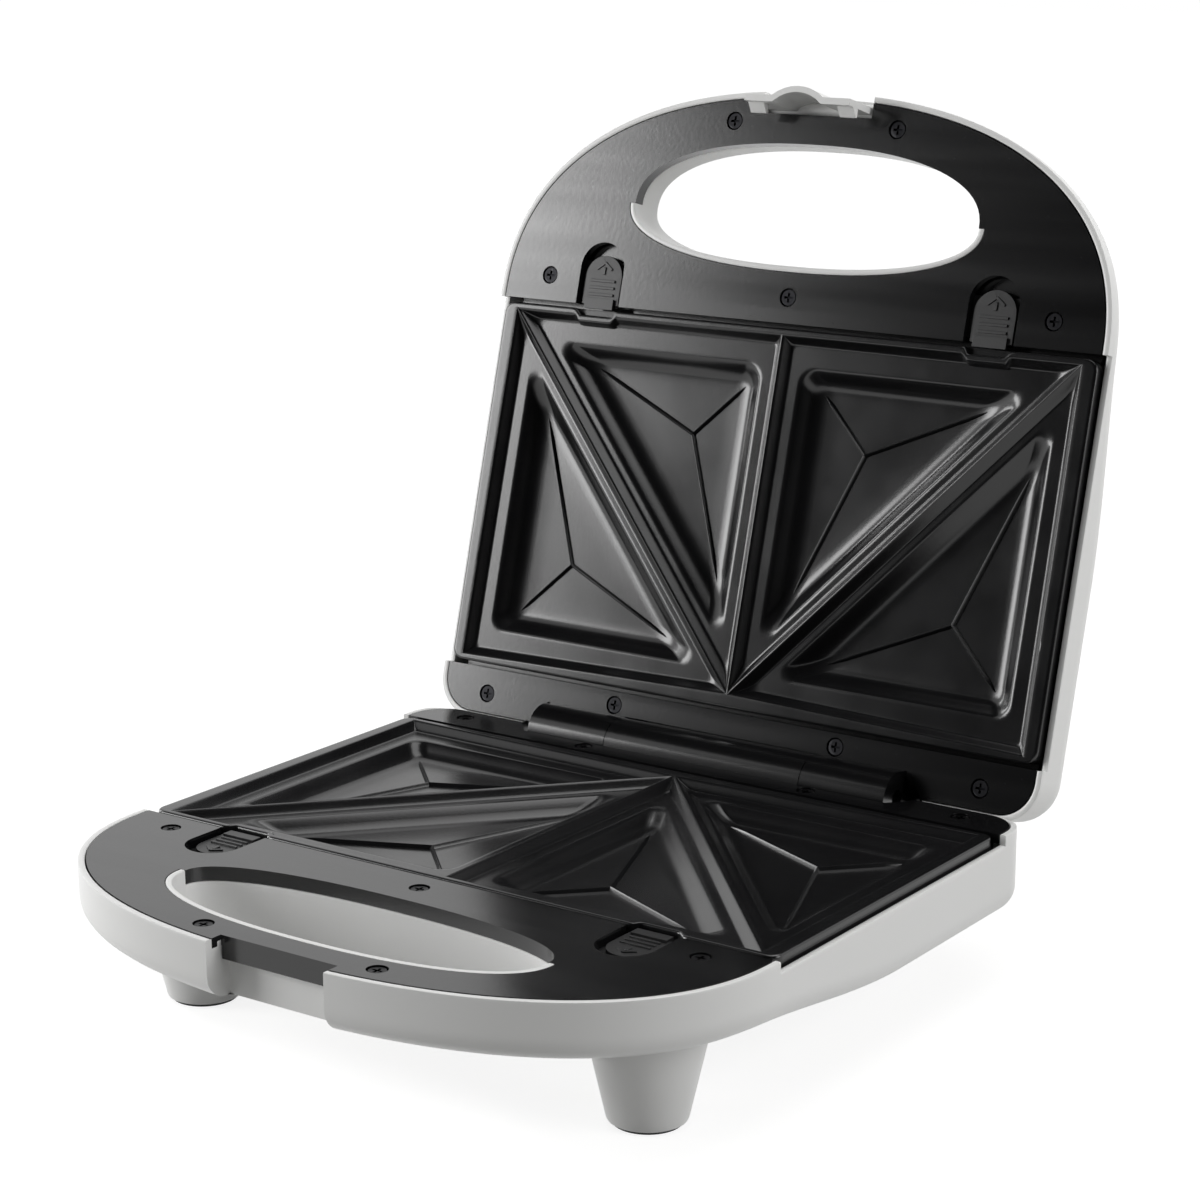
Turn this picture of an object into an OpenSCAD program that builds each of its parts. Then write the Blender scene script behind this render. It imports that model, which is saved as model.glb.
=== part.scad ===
// Two-slice sandwich toaster with detachable plates, standing open.
// Each half is drawn with its inner face on z = 0, its depth along +z, the hinge axis
// near y = 0 and the front edge towards -y. in_base() and in_lid() then place it.

/* [Plates] */
// Width of a plate across its rims
plate_w = 228.4; // [216:0.1:240]
// Length of a plate from its rear rim to its front rim
plate_len = 127; // [120:0.5:136]
// Distance from the hinge axis to the rear edge of a plate
plate_back = 18.4; // [18:0.1:24]
// Depth of the sealing land below the rim
land_depth = 3; // [2:0.1:4]
// Depth of a pocket's floor below the land
pocket_depth = 5; // [4:0.1:6]
// Thickness of the cast plate
plate_wall = 2.2; // [1.8:0.1:2.6]
// Height of the plate's outer edge
plate_edge_h = 6.3; // [6.2:0.1:6.8]
// Width of the rim along the two sides
side_rim = 4.5; // [3.5:0.1:5.5]
// Width of the rim at the front and the rear
end_rim = 2; // [1.6:0.1:2.6]
// Width of the slope from the rim or a rib down to the land
slope_w = 3; // [2:0.1:4]
// Width of the land between a slope and a pocket
land_w = 5; // [4:0.1:6]
// Height of the thin ridges on a pocket's floor
ridge_h = 0.8; // [0.4:0.1:1.2]

/* [Casings] */
// Wall thickness of the two casings
wall = 2; // [1.6:0.1:2.4]
// Gap between a plate and the casing wall beside it
plate_gap = 0.8; // [0.5:0.1:1.2]
// Length of the rounded front beyond the plates
nose_len = 77; // [72:0.5:84]
// Squareness of the rounded front, where 2 is an ellipse
nose_square = 2.3; // [2:0.05:2.6]
// Distance from the hinge axis back to the flat rear wall
case_back = 1; // [0.5:0.1:1.3]
// Radius of the rear corners seen from above
corner_r = 14; // [10:0.5:17]
// Depth of the base casing at the hinge
base_rear_d = 27; // [26:0.5:32]
// Depth of the base casing at the front
base_front_d = 18.5; // [17.5:0.5:21]
// Radius of the base casing's lower edge
base_edge_r = 8; // [6:0.5:10]
// Depth of the lid casing at the hinge
lid_rear_d = 24; // [23.5:0.5:30]
// Depth of the lid casing at the front
lid_front_d = 15; // [14.5:0.5:18]
// Radius of the lid casing's upper edge
lid_edge_r = 12; // [9:0.5:12.5]
// Rise of the lid's crown in its middle
lid_crown = 1.5; // [0:0.1:3]
// How far the casing walls beside the plates are cut lower
side_cut = 3.5; // [2:0.1:5]

/* [Handle hole] */
// Width of the handle hole
hole_w = 132; // [110:1:140]
// Distance from the plates to the hole's widest line
hole_mid = 36; // [34:0.5:38]
// Reach of the hole forward of its widest line
hole_front = 23.5; // [20:0.5:25]
// Reach of the hole back from its widest line
hole_rear = 17; // [14:0.5:18]
// Depth of the black skirt inside the hole
skirt_d = 4.5; // [3:0.1:8]

/* [Bezels] */
// Thickness of the bezel plate
bezel_t = 3; // [2.6:0.1:3.4]
// Gap between the two bezels when the lid is shut
shut_gap = 0.5; // [0.3:0.1:1]
// Width of the casing's white edge around the bezel
lip_w = 2.4; // [2.2:0.1:2.8]
// Gap from the front part of the bezel to the plate
front_gap = 1.6; // [1:0.1:2.4]
// Gap from the rear part of the bezel to the plate
rear_gap = 1.4; // [0.8:0.1:2]

/* [Hinge] */
// Angle of the lid when it is fully open
open_angle = 105.5; // [90:0.5:106]
// Distance of the hinge axis below the inner face of the base
hinge_drop = 1.8; // [1:0.1:2.6]
// Radius of the hinge barrels
barrel_r = 9; // [8:0.1:9.4]
// Gap between a barrel and the trough it turns in
barrel_gap = 0.6; // [0.4:0.1:0.8]
// Length of the middle barrel
mid_barrel_l = 76; // [66:1:80]
// Length of each outer barrel
end_barrel_l = 31.2; // [27:0.1:34]
// Gap between the ends of two barrels
barrel_end_gap = 0.3; // [0.2:0.05:0.6]
// Radius of the hinge pins
pin_r = 3; // [2.5:0.1:3.4]
// Radial running clearance of the hinge pins
pin_play = 0.05; // [0.03:0.01:0.08]
// Length of each hinge pin
pin_l = 44; // [40:0.5:46]

/* [Release buttons] */
// Distance from the side of a plate in to the middle of a release button
button_in = 38.7; // [37:0.1:41]
// Width of a release button
button_w = 15; // [13:0.5:16]
// Length of a release button without its tongue
button_l = 17; // [16:0.5:18]
// Travel of a release button
button_travel = 4; // [3:0.1:4.5]
// Depth of a button's face below the bezel
button_sink = 1.6; // [1:0.1:1.8]
// Width of the tongue at the end of a button
tongue_w = 12; // [9:0.5:13]

/* [Latch] */
// Width of the notch that the latch sits in
notch_w = 42; // [38:1:46]
// Reach of the latch past the inner face of the lid
latch_reach = 13.5; // [12.5:0.1:14.5]
// Thickness of the latch clip
latch_t = 2.2; // [1.8:0.1:2.6]
// Half width of the arched finger grip
grip_half_w = 12; // [9:0.5:13]
// Swing of the latch when it is pulled off
latch_swing = 24; // [15:1:28]

/* [Feet] */
// Height of the base's inner face above the table
stand_h = 50.5; // [48:0.5:58]
// Distance from the casing's side in to the middle of a front foot
front_foot_in = 35; // [33:1:40]
// Distance from the casing's side in to the middle of a rear foot
rear_foot_in = 55; // [40:1:66]
// Radius of a foot at its bottom
foot_r = 11.5; // [10:0.5:13]
// Radius of a foot where it meets the casing
foot_top_r = 18.5; // [16:0.5:19.5]
// Thickness of a foot pad
pad_t = 2.3; // [1.8:0.1:3]

/* [Fasteners and heaters] */
// Radius of a bezel screw's head
screw_head_r = 2.6; // [2.2:0.1:2.8]
// Radius of a bezel screw's shank
screw_r = 1.4; // [1.2:0.1:1.6]
// Length of a bezel screw's shank
screw_l = 9; // [8:0.5:10]
// Radius of a heater tube
heater_r = 3; // [2.8:0.1:3.2]
// Thickness of the reflector's sheet steel
sheet_t = 0.6; // [0.4:0.1:0.8]
// Radius of the hole through the cord gland
cord_r = 3.4; // [3:0.1:3.8]
// Thickness of the wall around the cord gland's hole
gland_wall = 1.6; // [1.2:0.1:1.8]

/* [Hidden] */
$fn = 48;
eps = 0.01;
half_gap = shut_gap/2;
case_w = plate_w + 2*(plate_gap + wall);
plate_front = plate_back + plate_len;
side_end = plate_front + front_gap;
case_front = side_end + nose_len;
bezel_back_end = plate_back - rear_gap;

// Where each casing starts and ends its change of depth
slope_back = side_end - 72;
slope_front = side_end + 18;

// Points along the rounded front, a side, a corner and an edge radius
nose_steps = 44;
side_steps = 9;
corner_steps = 4;
edge_steps = 4;
hole_steps = 88;
fine_nose_steps = 110;
fine_corner_steps = 10;

// Handle hole
hole_y = -(side_end + hole_mid);
hole_square = 2.3;

// Hinge troughs
trough_r = barrel_r + barrel_gap;
trough_wall = 1.6;
barrels_end = mid_barrel_l/2 + barrel_end_gap + end_barrel_l;
trough_end = barrels_end + 1;
trough_slope_l = 6;
trough_tip_r = 3;
lead_r = 1.7;
hollow_pin_r = 2.1;
base_lead_x = mid_barrel_l/2 - pin_l/2 - 10;
lid_lead_x = mid_barrel_l/2 + pin_l/2;

// Screw places, as distance from the middle and distance from the hinge axis
front_screw_x = notch_w/2 + 10.2;
side_screw_x = case_w/2 - 20;
rear_screw_x = case_w/2 - 20.4;
mid_screw_x = mid_barrel_l/2 + 5.4;
screw_places = [
  [front_screw_x, case_front - 11], [-front_screw_x, case_front - 11],
  [side_screw_x, side_end + 8.8], [-side_screw_x, side_end + 8.8], [0, side_end + 8.6],
  [rear_screw_x, plate_back - 10.2], [-rear_screw_x, plate_back - 10.2],
  [mid_screw_x, plate_back - 5.9], [-mid_screw_x, plate_back - 5.9]
];
recess_r = screw_head_r + 0.55;
recess_d = 2;
head_sink = 0.4;
boss_r = screw_r + 1.8;
bore_gap = 0.05;
cross_l = 3.2;
cross_w = 0.8;
cross_d = 0.9;

// Plate
plate_r = 4;
land_z = half_gap + land_depth;
floor_z = land_z + pocket_depth;
side_foot = plate_w/2 - side_rim - slope_w;
rear_foot = plate_back + end_rim + slope_w;
front_foot = plate_front - end_rim - slope_w;
side_in = side_foot - land_w - 1;
rear_in = rear_foot + land_w + 2.5;
front_in = front_foot - land_w - 2.5;
centre_in = slope_w + land_w;
rib_from = [0, -(rear_foot - 0.5)];
rib_to = [plate_w/2 - side_rim - 0.8, -(plate_front - end_rim)];
rib_dir = (rib_to - rib_from)/norm(rib_to - rib_from);
rib_in = slope_w + land_w*0.64;
lug_w = tongue_w + 1;
lug_d = 2.2;
lug_h = 2.5;

// Reflector and heater
flange_z = half_gap + plate_edge_h + 0.3;
frame_z = flange_z + sheet_t;
frame_t = 2;
tray_w = plate_w - 1.2;
shallow_z = floor_z + plate_wall + 0.55;
shallow_w = 2*side_foot - 4.4;
shallow_back = rear_foot - 2;
shallow_front = front_foot - 1.4;
heater_z = floor_z + plate_wall + heater_r + 0.35;
deep_z = heater_z + heater_r + 0.4;
deep_w = 2*side_in - 4;
deep_back = rear_in - 4;
deep_front = (front_foot + rear_foot)/2 + 33;
heater_bend = 3.3*heater_r;
heater_x = deep_w/2 - 6*heater_r;
heater_front = deep_front - 4*heater_r;
heater_back = deep_back + 5.6*heater_r;
heater_end_x = 6*heater_r;
insulator_l = 2*heater_r;
heater_end_back = plate_back - insulator_l;

// Release buttons
button_x = plate_w/2 - button_in;
button_top = half_gap + button_sink;
button_t = 2.6;
slot_w = button_w + 3;
wing_w = button_w + 5;
wing_z = half_gap + bezel_t + 0.2;
wing_t = 0.9;
pan_z = wing_z + wing_t + 0.3;
pan_t = 1.2;
pan_in_w = wing_w + 1.2;
button_y0 = side_end + 0.3;
button_end = button_y0 + button_l;
slot_end = button_end + button_travel + 0.4;
wing_end = button_end - 2;
pan_end = slot_end + 0.1;
leg_w = 4;
leg_t = 3;
leg_y = button_y0 + 4;
spring_r = 1.6;
spring_wire = 0.4;
spring_z = pan_z + pan_t + spring_r + 0.4;
spring_l = 10;
leg_end_z = spring_z + 1.5;

// Latch
notch_half = notch_w/2;
latch_half = notch_half - 1;
ledge_y = case_front - 6.8;
latch_in_y = ledge_y + 0.4;
latch_pin_r = 1;
latch_pin_y = latch_in_y + 1.3;
latch_pin_z = 4.6;
latch_pin_play = 0.04;
latch_barrel_r = latch_pin_r + 1.4;
pocket_back_y = latch_pin_y - latch_barrel_r - 0.3;
pocket_top_z = latch_pin_z + latch_barrel_r + 0.6;
ledge_d = 7;
ledge_t = 2;
hook_z = ledge_d + 0.4;
hook_h = 3.4;
hook_in = 3;
hook_w = 6;
grip_rise = case_front - 0.9 - latch_in_y;
grip_r = (pow(grip_half_w, 2) + pow(grip_rise, 2))/(2*grip_rise);
panel_y = latch_in_y - hook_in - 0.5;

// Feet and gland
front_foot_x = case_w/2 - front_foot_in;
rear_foot_x = case_w/2 - rear_foot_in;
front_foot_y = side_end + 12;
rear_foot_y = plate_back + 3.6;
rear_foot_r = foot_top_r - 2;
front_seat_z = depth_at(front_foot_y - foot_top_r, base_rear_d, base_front_d) + 0.4;
rear_seat_z = base_rear_d + 0.4;
foot_places = [
  [front_foot_x, front_foot_y, foot_top_r, front_seat_z],
  [-front_foot_x, front_foot_y, foot_top_r, front_seat_z],
  [rear_foot_x, rear_foot_y, rear_foot_r, rear_seat_z],
  [-rear_foot_x, rear_foot_y, rear_foot_r, rear_seat_z]
];
foot_wall = 2.2;
pad_r = foot_r - 1.3;
pad_show = 1.1;
floor_in = 4.3;
gland_r = cord_r + gland_wall;
gland_flange = 1.2;
gland_x = trough_end + trough_slope_l + gland_r + gland_flange;
gland_z = base_rear_d - base_edge_r - gland_r - gland_flange - 0.2;
stop_w = 6;
stop_x = gland_x + gland_r + gland_flange + stop_w/2 + 0.5;
stop_l = 7;

// Terminal block and leads
block_x = 60;
block_w = 22;
block_back = 12;
block_front = 23;
lead_start = heater_end_back - 3.2;
thin_lead_r = 1;

// Indicator lenses
lens_x = 11;
lens_y = side_end + 6.5;
lens_r = 3.5;
lamp_r = 2.4;
lamp_l = 6.5;

// The leaning lid's rearmost reach, and the place of the hinge axis in the part's frame
lid_lean_y = (case_front - lid_edge_r)*-cos(open_angle)
  + (lid_front_d - lid_edge_r + hinge_drop)*sin(open_angle) + lid_edge_r;
hinge_y = (case_front - lid_lean_y)/2;

white = [0.93, 0.93, 0.92];
black = [0.08, 0.08, 0.085];
plate_grey = [0.16, 0.16, 0.17];
bright = [0.75, 0.75, 0.76];
dark_steel = [0.3, 0.29, 0.28];

// Smooth step from 0 to 1
function smooth(t) = t <= 0 ? 0 : t >= 1 ? 1 : t*t*(3 - 2*t);

// Depth of a casing at a distance forward of the hinge axis
function depth_at(fwd, rear_d, front_d) =
  front_d + (rear_d - front_d)*smooth((slope_front - fwd)/(slope_front - slope_back));

// A point on a quarter curve between an ellipse and a box
function bulge(a, b, t, power) =
  [a*sign(cos(t))*pow(abs(cos(t)), 2/power), b*sign(sin(t))*pow(abs(sin(t)), 2/power)];

// Points on an arc
function arc(cx, cy, r, from, to, steps) =
  [for (i = [0:steps]) let(t = from + (to - from)*i/steps) [cx + r*cos(t), cy + r*sin(t)]];

// Outline of a casing seen from above, drawn in by a given amount
function outline(inset, nose_steps = nose_steps, corner_steps = corner_steps) =
  let(a = case_w/2 - inset, b = nose_len - inset, yr = case_back - inset,
    r = max(corner_r - inset, 1), side = side_end + yr - r)
  concat(
    [for (i = [1:side_steps]) [a, -side_end + side*i/(side_steps + 1)]],
    arc(a - r, yr - r, r, 0, 90, corner_steps),
    arc(r - a, yr - r, r, 90, 180, corner_steps),
    [for (i = [side_steps:-1:1]) [-a, -side_end + side*i/(side_steps + 1)]],
    [for (i = [0:nose_steps]) let(p = bulge(a, b, 180 + 180*i/nose_steps, nose_square))
      [p[0], p[1] - side_end]]);

// Outline of the handle hole, let out by a given amount
function hole_outline(grow) =
  [for (i = [0:hole_steps - 1]) let(t = 360*i/hole_steps,
    b = t < 180 ? hole_rear : hole_front, p = bulge(hole_w/2 + grow, b + grow, t, hole_square))
    [p[0], p[1] + hole_y]];

// A triangle with rounded corners, as points in order
function rounded(p, r) =
  [for (i = [0:2]) let(a = p[(i + 2)%3], b = p[i], c = p[(i + 1)%3],
    u = (a - b)/norm(a - b), v = (c - b)/norm(c - b), half = acos(u*v)/2,
    mid = b + (u + v)/norm(u + v)*r[i]/sin(half)) each arc_between(mid, r[i], b, u, v, half)];

// The round of one corner: its centre, its radius, the corner and the two edges' directions
function arc_between(c, r, b, u, v, half) =
  let(p = b + u*r/tan(half), q = b + v*r/tan(half), t0 = atan2(p[1] - c[1], p[0] - c[0]),
    t1 = atan2(q[1] - c[1], q[0] - c[0]), turn = (t1 - t0 + 720)%360)
  [for (i = [0:4]) c + r*[cos(t0 + turn*i/4), sin(t0 + turn*i/4)]];

// Centre and radius of the circle inside a triangle
function in_centre(p) =
  let(a = norm(p[1] - p[2]), b = norm(p[2] - p[0]), c = norm(p[0] - p[1]))
  (a*p[0] + b*p[1] + c*p[2])/(a + b + c);
function in_radius(p) =
  let(a = norm(p[1] - p[2]), b = norm(p[2] - p[0]), c = norm(p[0] - p[1]), s = (a + b + c)/2)
  sqrt(s*(s - a)*(s - b)*(s - c))/s;

// A closed skin through rings of points that rise, with a middle point under and over them
module loft(rings, low_tip, high_tip) {
  n = len(rings[0]);
  last = len(rings) - 1;
  low = (last + 1)*n;
  points = concat([for (ring = rings) each ring], [low_tip, high_tip]);
  sides = [for (k = [0:last - 1], i = [0:n - 1]) let(j = (i + 1)%n)
    each [[k*n + i, k*n + n + i, k*n + n + j], [k*n + i, k*n + n + j, k*n + j]]];
  caps = [for (i = [0:n - 1]) let(j = (i + 1)%n)
    each [[i, j, low], [last*n + i, low + 1, last*n + j]]];
  polyhedron(points, concat(caps, sides), convexity = 6);
}

// A casing's skin: straight wall, rounded edge, then the flat back closing to its middle
module skin(inset, start_z, rear_d, front_d, edge_r, crown) {
  r = edge_r - inset;
  mid = [0, -case_front/2];
  back = outline(inset + r);
  wall_ring = [for (p = outline(inset)) [p[0], p[1], start_z]];
  edge_rings = [for (k = [0:edge_steps]) let(t = 90*k/edge_steps)
    [for (p = outline(inset + r*(1 - cos(t))))
      [p[0], p[1], depth_at(-p[1], rear_d, front_d) - inset - r + r*sin(t)]]];
  flat_rings = [for (s = [0.72, 0.44, 0.16]) [for (q = back) let(p = mid + s*(q - mid))
    [p[0], p[1], depth_at(-p[1], rear_d, front_d) - inset + crown*(1 - s*s)]]];
  loft(concat([wall_ring], edge_rings, flat_rings), [mid[0], mid[1], start_z],
    [mid[0], mid[1], depth_at(-mid[1], rear_d, front_d) - inset + crown]);
}

// A rectangle with round corners, with true arcs
module round_rect(w, back, front, r) {
  translate([-w/2, -front + r]) square([w, front - back - 2*r]);
  translate([-w/2 + r, -front]) square([w - 2*r, front - back]);
  for (x = [-1, 1], y = [-back - r, -front + r]) translate([x*(w/2 - r), y]) circle(r);
}

// A slab of round_rect between two depths
module slab(w, back, front, r, z0, z1) {
  translate([0, 0, z0]) linear_extrude(z1 - z0) round_rect(w, back, front, r);
}

// A box given by its lowest and highest corners
module block(low, high) {
  translate(low) cube(high - low);
}

// Places a half as the base, with its inner face up
module in_base() {
  translate([0, hinge_y, stand_h]) mirror([0, 0, 1]) children();
}

// Places a half as the open lid
module in_lid() {
  translate([0, hinge_y, stand_h - hinge_drop]) rotate([-open_angle, 0, 0])
    translate([0, 0, hinge_drop]) children();
}

// A cylinder along the x axis through the hinge axis of a half
module hinge_round(x0, x1, r, axis_z) {
  translate([x0, 0, axis_z]) rotate([0, 90, 0]) cylinder(r = r, h = x1 - x0);
}

// The space of the hinge trough, with its sloped ends
module trough(grow, axis_z) {
  hinge_round(-trough_end, trough_end, trough_r + grow, axis_z);
  for (side = [-1, 1]) translate([side*(trough_end - eps), 0, axis_z]) rotate([0, side*90, 0])
    cylinder(r1 = trough_r + grow, r2 = trough_tip_r + grow, h = trough_slope_l + grow/2);
}

// Casing of one half. The first child is joined on outside, the second stands in its hollow.
module casing(rear_d, front_d, edge_r, crown, lip_side, axis_z) {
  difference() {
    union() {
      skin(0, half_gap, rear_d, front_d, edge_r, crown);
      children(0);
    }
    difference() {
      skin(wall, -1, rear_d, front_d, edge_r, crown);
      // White wall of the handle hole: flush on one side, below the black skirt on the other
      translate([0, 0, half_gap]) linear_extrude(rear_d) hole_wall(lip_side);
      translate([0, 0, half_gap + skirt_d]) linear_extrude(rear_d) hole_wall(-lip_side);
      for (p = screw_places) translate([p[0], -p[1], half_gap + bezel_t])
        cylinder(r = boss_r, h = rear_d);
      children(1);
    }
    translate([0, 0, -2]) linear_extrude(rear_d + 10) polygon(hole_outline(0));
    for (p = screw_places) translate([p[0], -p[1], half_gap + bezel_t - 1])
      cylinder(r = screw_r + bore_gap, h = screw_l + 1.5);
    trough(trough_wall + 0.2, axis_z);
    for (side = [-1, 1]) block([side*case_w/2 - wall - 1, -side_end, -1],
      [side*case_w/2 + wall + 1, -bezel_back_end, side_cut]);
  }
}

// One half of the ring around the handle hole, front or rear
module hole_wall(side) {
  intersection() {
    difference() {
      polygon(hole_outline(wall));
      polygon(hole_outline(0));
    }
    half_plane(side);
  }
}

// Everything in front of the hole's widest line (1), or behind it (-1)
module half_plane(side) {
  translate([-case_w, side > 0 ? hole_y - 2*case_w : hole_y]) square([2*case_w, 2*case_w]);
}

// A cone with the taper of one foot between two depths, let out by a given amount
module foot_cone(place, grow, start_z, end_z) {
  foot_end = stand_h - pad_show;
  taper = (place[2] - foot_r)/(foot_end - base_front_d);
  translate([place[0], -place[1], start_z])
    cylinder(r1 = foot_r + taper*(foot_end - start_z) + grow,
      r2 = foot_r + taper*(foot_end - end_z) + grow, h = end_z - start_z);
}

// Tapered feet, hollow and open below, under the seats of the lower casing
module base_feet() {
  color(white) in_base() for (p = foot_places) difference() {
    foot_cone(p, 0, p[3], stand_h - pad_show);
    foot_cone(p, -foot_wall, p[3] + foot_wall, stand_h);
    translate([p[0], -p[1], stand_h - pad_t]) cylinder(r = pad_r + 0.1, h = pad_t + 1);
  }
}

// Lower casing with seats for the feet, latch recess, lid stops and a hole for the cord gland
module base_casing() {
  difference() {
    union() {
      difference() {
        casing(base_rear_d, base_front_d, base_edge_r, 0, 1, hinge_drop) {
          for (p = foot_places) foot_cone(p, 0, p[3] - 3.2, p[3]);
          block([-notch_half - wall, -case_front, half_gap + bezel_t],
            [notch_half + wall, -panel_y + wall, base_rear_d]);
        }
        block([-notch_half, -case_front - 1, -1], [notch_half, -panel_y, base_front_d + 2]);
      }
      // Two ribs that the open lid rests on
      for (side = [-1, 1]) translate([side*stop_x - stop_w/2, 0, 0]) rotate([90, 0, 90])
        linear_extrude(stop_w) polygon([[case_back - 1, stop_z(case_back)],
          [case_back, stop_z(case_back)], [case_back + stop_l, stop_z(case_back + stop_l)],
          [case_back, stop_z(case_back + stop_l) + stop_l], [case_back - 1, base_rear_d/2]]);
    }
    translate([gland_x, case_back + 5, gland_z]) rotate([90, 0, 0])
      cylinder(r = gland_r + 0.1, h = wall + 10);
  }
}

// The lower casing is one moulding. Its floor, with the bosses, the foot seats and the wall of
// the handle hole, is a node of its own, cut along a line inside the rounded edge.
module floor_space() {
  translate([0, 0, -2]) linear_extrude(base_rear_d + 4) difference() {
    polygon(outline(floor_in));
    translate([-notch_half - wall - 1, -case_front]) square([notch_w + 2*wall + 2,
      case_front - panel_y + wall + 1]);
  }
}
module base_shell() {
  color(white) in_base() difference() {
    base_casing();
    floor_space();
  }
}
module base_floor() {
  color(white) in_base() intersection() {
    base_casing();
    floor_space();
  }
}
// Depth of the top of a stop rib, just under the back of the open lid
function stop_z(y) = hinge_drop + case_back*sin(open_angle) + 0.3
  - (y - case_back*cos(open_angle))*cos(open_angle)/sin(open_angle);

// Upper casing with the latch pocket and the holes for the lenses
module lid_shell() {
  lens_z = depth_at(lens_y, lid_rear_d, lid_front_d);
  color(white) in_lid() difference() {
    casing(lid_rear_d, lid_front_d, lid_edge_r, lid_crown, -1, -hinge_drop) {
      union() {}
      block([-notch_half - wall, -case_front, half_gap + bezel_t],
        [notch_half + wall, -pocket_back_y + wall, pocket_top_z + 1.6]);
    }
    block([-notch_half, -case_front - 1, -1], [notch_half, -pocket_back_y, pocket_top_z]);
    translate([0, -latch_pin_y, latch_pin_z]) rotate([0, 90, 0])
      cylinder(r = latch_pin_r + 0.02, h = notch_w + 2*wall - 1, center = true);
    for (side = [-1, 1]) translate([side*lens_x, -lens_y, lens_z - wall - 3])
      cylinder(r = lens_r + 0.1, h = wall + 8);
  }
}

// Inner bezel of one half: face plate, skirts, button pans, hinge barrels and tray frame
module bezel(lip_side, axis_z, is_base) {
  difference() {
    union() {
      translate([0, 0, half_gap]) linear_extrude(bezel_t) difference() {
        polygon(outline(lip_w, fine_nose_steps, fine_corner_steps));
        translate([-case_w/2, -side_end]) square([case_w, side_end - bezel_back_end]);
        intersection() {
          polygon(hole_outline(wall + 0.2));
          half_plane(lip_side);
        }
      }
      // Black skirt in the handle hole
      translate([0, 0, half_gap + eps]) linear_extrude(skirt_d - 0.2) intersection() {
        polygon(hole_outline(wall));
        half_plane(-lip_side);
      }
      // Skirts beside the plate and the frame that carries the tray
      block([-case_w/2 + 5, -side_end - 1.6, half_gap + 1], [case_w/2 - 5, -side_end, frame_z + frame_t]);
      block([-case_w/2 + 5, -bezel_back_end, half_gap + 1],
        [case_w/2 - 5, -bezel_back_end + 1.6, frame_z + frame_t]);
      difference() {
        slab(case_w - 10, bezel_back_end - 1.6, side_end + 1.6, 2, frame_z, frame_z + frame_t);
        slab(shallow_w + 2, shallow_back - 0.6, shallow_front + 1, 2, frame_z - 1, frame_z + frame_t + 1);
      }
      difference() {
        trough(trough_wall, axis_z);
        block([-case_w, -case_w, -2*case_w], [case_w, case_w, half_gap]);
        block([-case_w, case_back, -case_w], [case_w, 2*case_w, case_w]);
      }
      for (side = [-1, 1]) translate([side*button_x, 0, 0]) {
        block([-pan_in_w/2 - 1.2, -pan_end - 1.2, half_gap + 1],
          [pan_in_w/2 + 1.2, -side_end, pan_z + pan_t]);
        block([-3, -leg_y - leg_t - spring_l - 2.2, pan_z],
          [3, -leg_y - leg_t - spring_l - 0.2, spring_z + 1.6]);
      }
      if (is_base) block([-notch_half + 0.3, -ledge_y, half_gap + 1],
        [notch_half - 0.3, -ledge_y + ledge_t, half_gap + ledge_d]);
    }
    translate([0, 0, -1]) linear_extrude(20) polygon(hole_outline(0));
    trough(0, axis_z);
    // Room for the latch
    block([-notch_half, -case_front - 1, -1],
      [notch_half, is_base ? -ledge_y : -pocket_back_y, 20]);
    for (side = [-1, 1]) translate([side*button_x, 0, 0]) button_space();
    screw_recesses();
    tray_screw_holes(screw_r);
    lead_way(axis_z, is_base);
  }
}

// Counterbores for the bezel screws, and room for the casing's bosses under the bezel plate
module screw_recesses() {
  for (p = screw_places) translate([p[0], -p[1], -1]) {
    cylinder(r = recess_r, h = 1 + half_gap + recess_d);
    cylinder(r = screw_r + 0.15, h = 12);
    translate([0, 0, 1 + half_gap + bezel_t]) cylinder(r = boss_r + 0.2, h = 20);
  }
}

// Slot, pan and leg slot of one release button
module button_space() {
  r = slot_w/2;
  translate([0, 0, half_gap - 1]) linear_extrude(bezel_t + 2) {
    translate([-r, -slot_end + r]) square([slot_w, slot_end - r - side_end + 3]);
    translate([0, -slot_end + r]) circle(r);
  }
  block([-pan_in_w/2, -pan_end, half_gap + bezel_t], [pan_in_w/2, -side_end + 3, pan_z]);
  block([-leg_w/2 - 0.4, -leg_y - leg_t - button_travel - 0.5, pan_z - 1],
    [leg_w/2 + 0.4, -leg_y + 0.5, pan_z + pan_t + 1]);
}

// Slanting hole that the leads take from a barrel into the half
module lead_way(axis_z, is_base) {
  x = is_base ? base_lead_x : lid_lead_x;
  translate([x, 0, axis_z]) rotate([45, 0, 0]) cylinder(r = lead_r + 0.5, h = 2*trough_r);
}

module tray_screw_holes(r) {
  for (x = [-1, 1], y = [plate_back + 12, plate_front - 13])
    translate([x*(shallow_w/2 + 3.6), -y, flange_z - 1]) cylinder(r = r, h = frame_t + 3);
}

// One barrel of a half, filled up to the trough wall and bored for its pin
module barrel(x0, x1, axis_z) {
  difference() {
    union() {
      hinge_round(x0, x1, barrel_r, axis_z);
      difference() {
        hinge_round(x0, x1, trough_r + trough_wall, axis_z);
        block([-case_w, -case_w, -2*case_w], [case_w, case_w, half_gap]);
        block([-case_w, case_back, -case_w], [case_w, 2*case_w, case_w]);
      }
    }
    hinge_round(x0 - 1, x1 + 1, pin_r + pin_play, axis_z);
  }
}

module base_bezel() {
  color(black) in_base() union() {
    bezel(1, hinge_drop, true);
    difference() {
      barrel(-mid_barrel_l/2, mid_barrel_l/2, hinge_drop);
      lead_way(hinge_drop, true);
    }
  }
}

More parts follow.
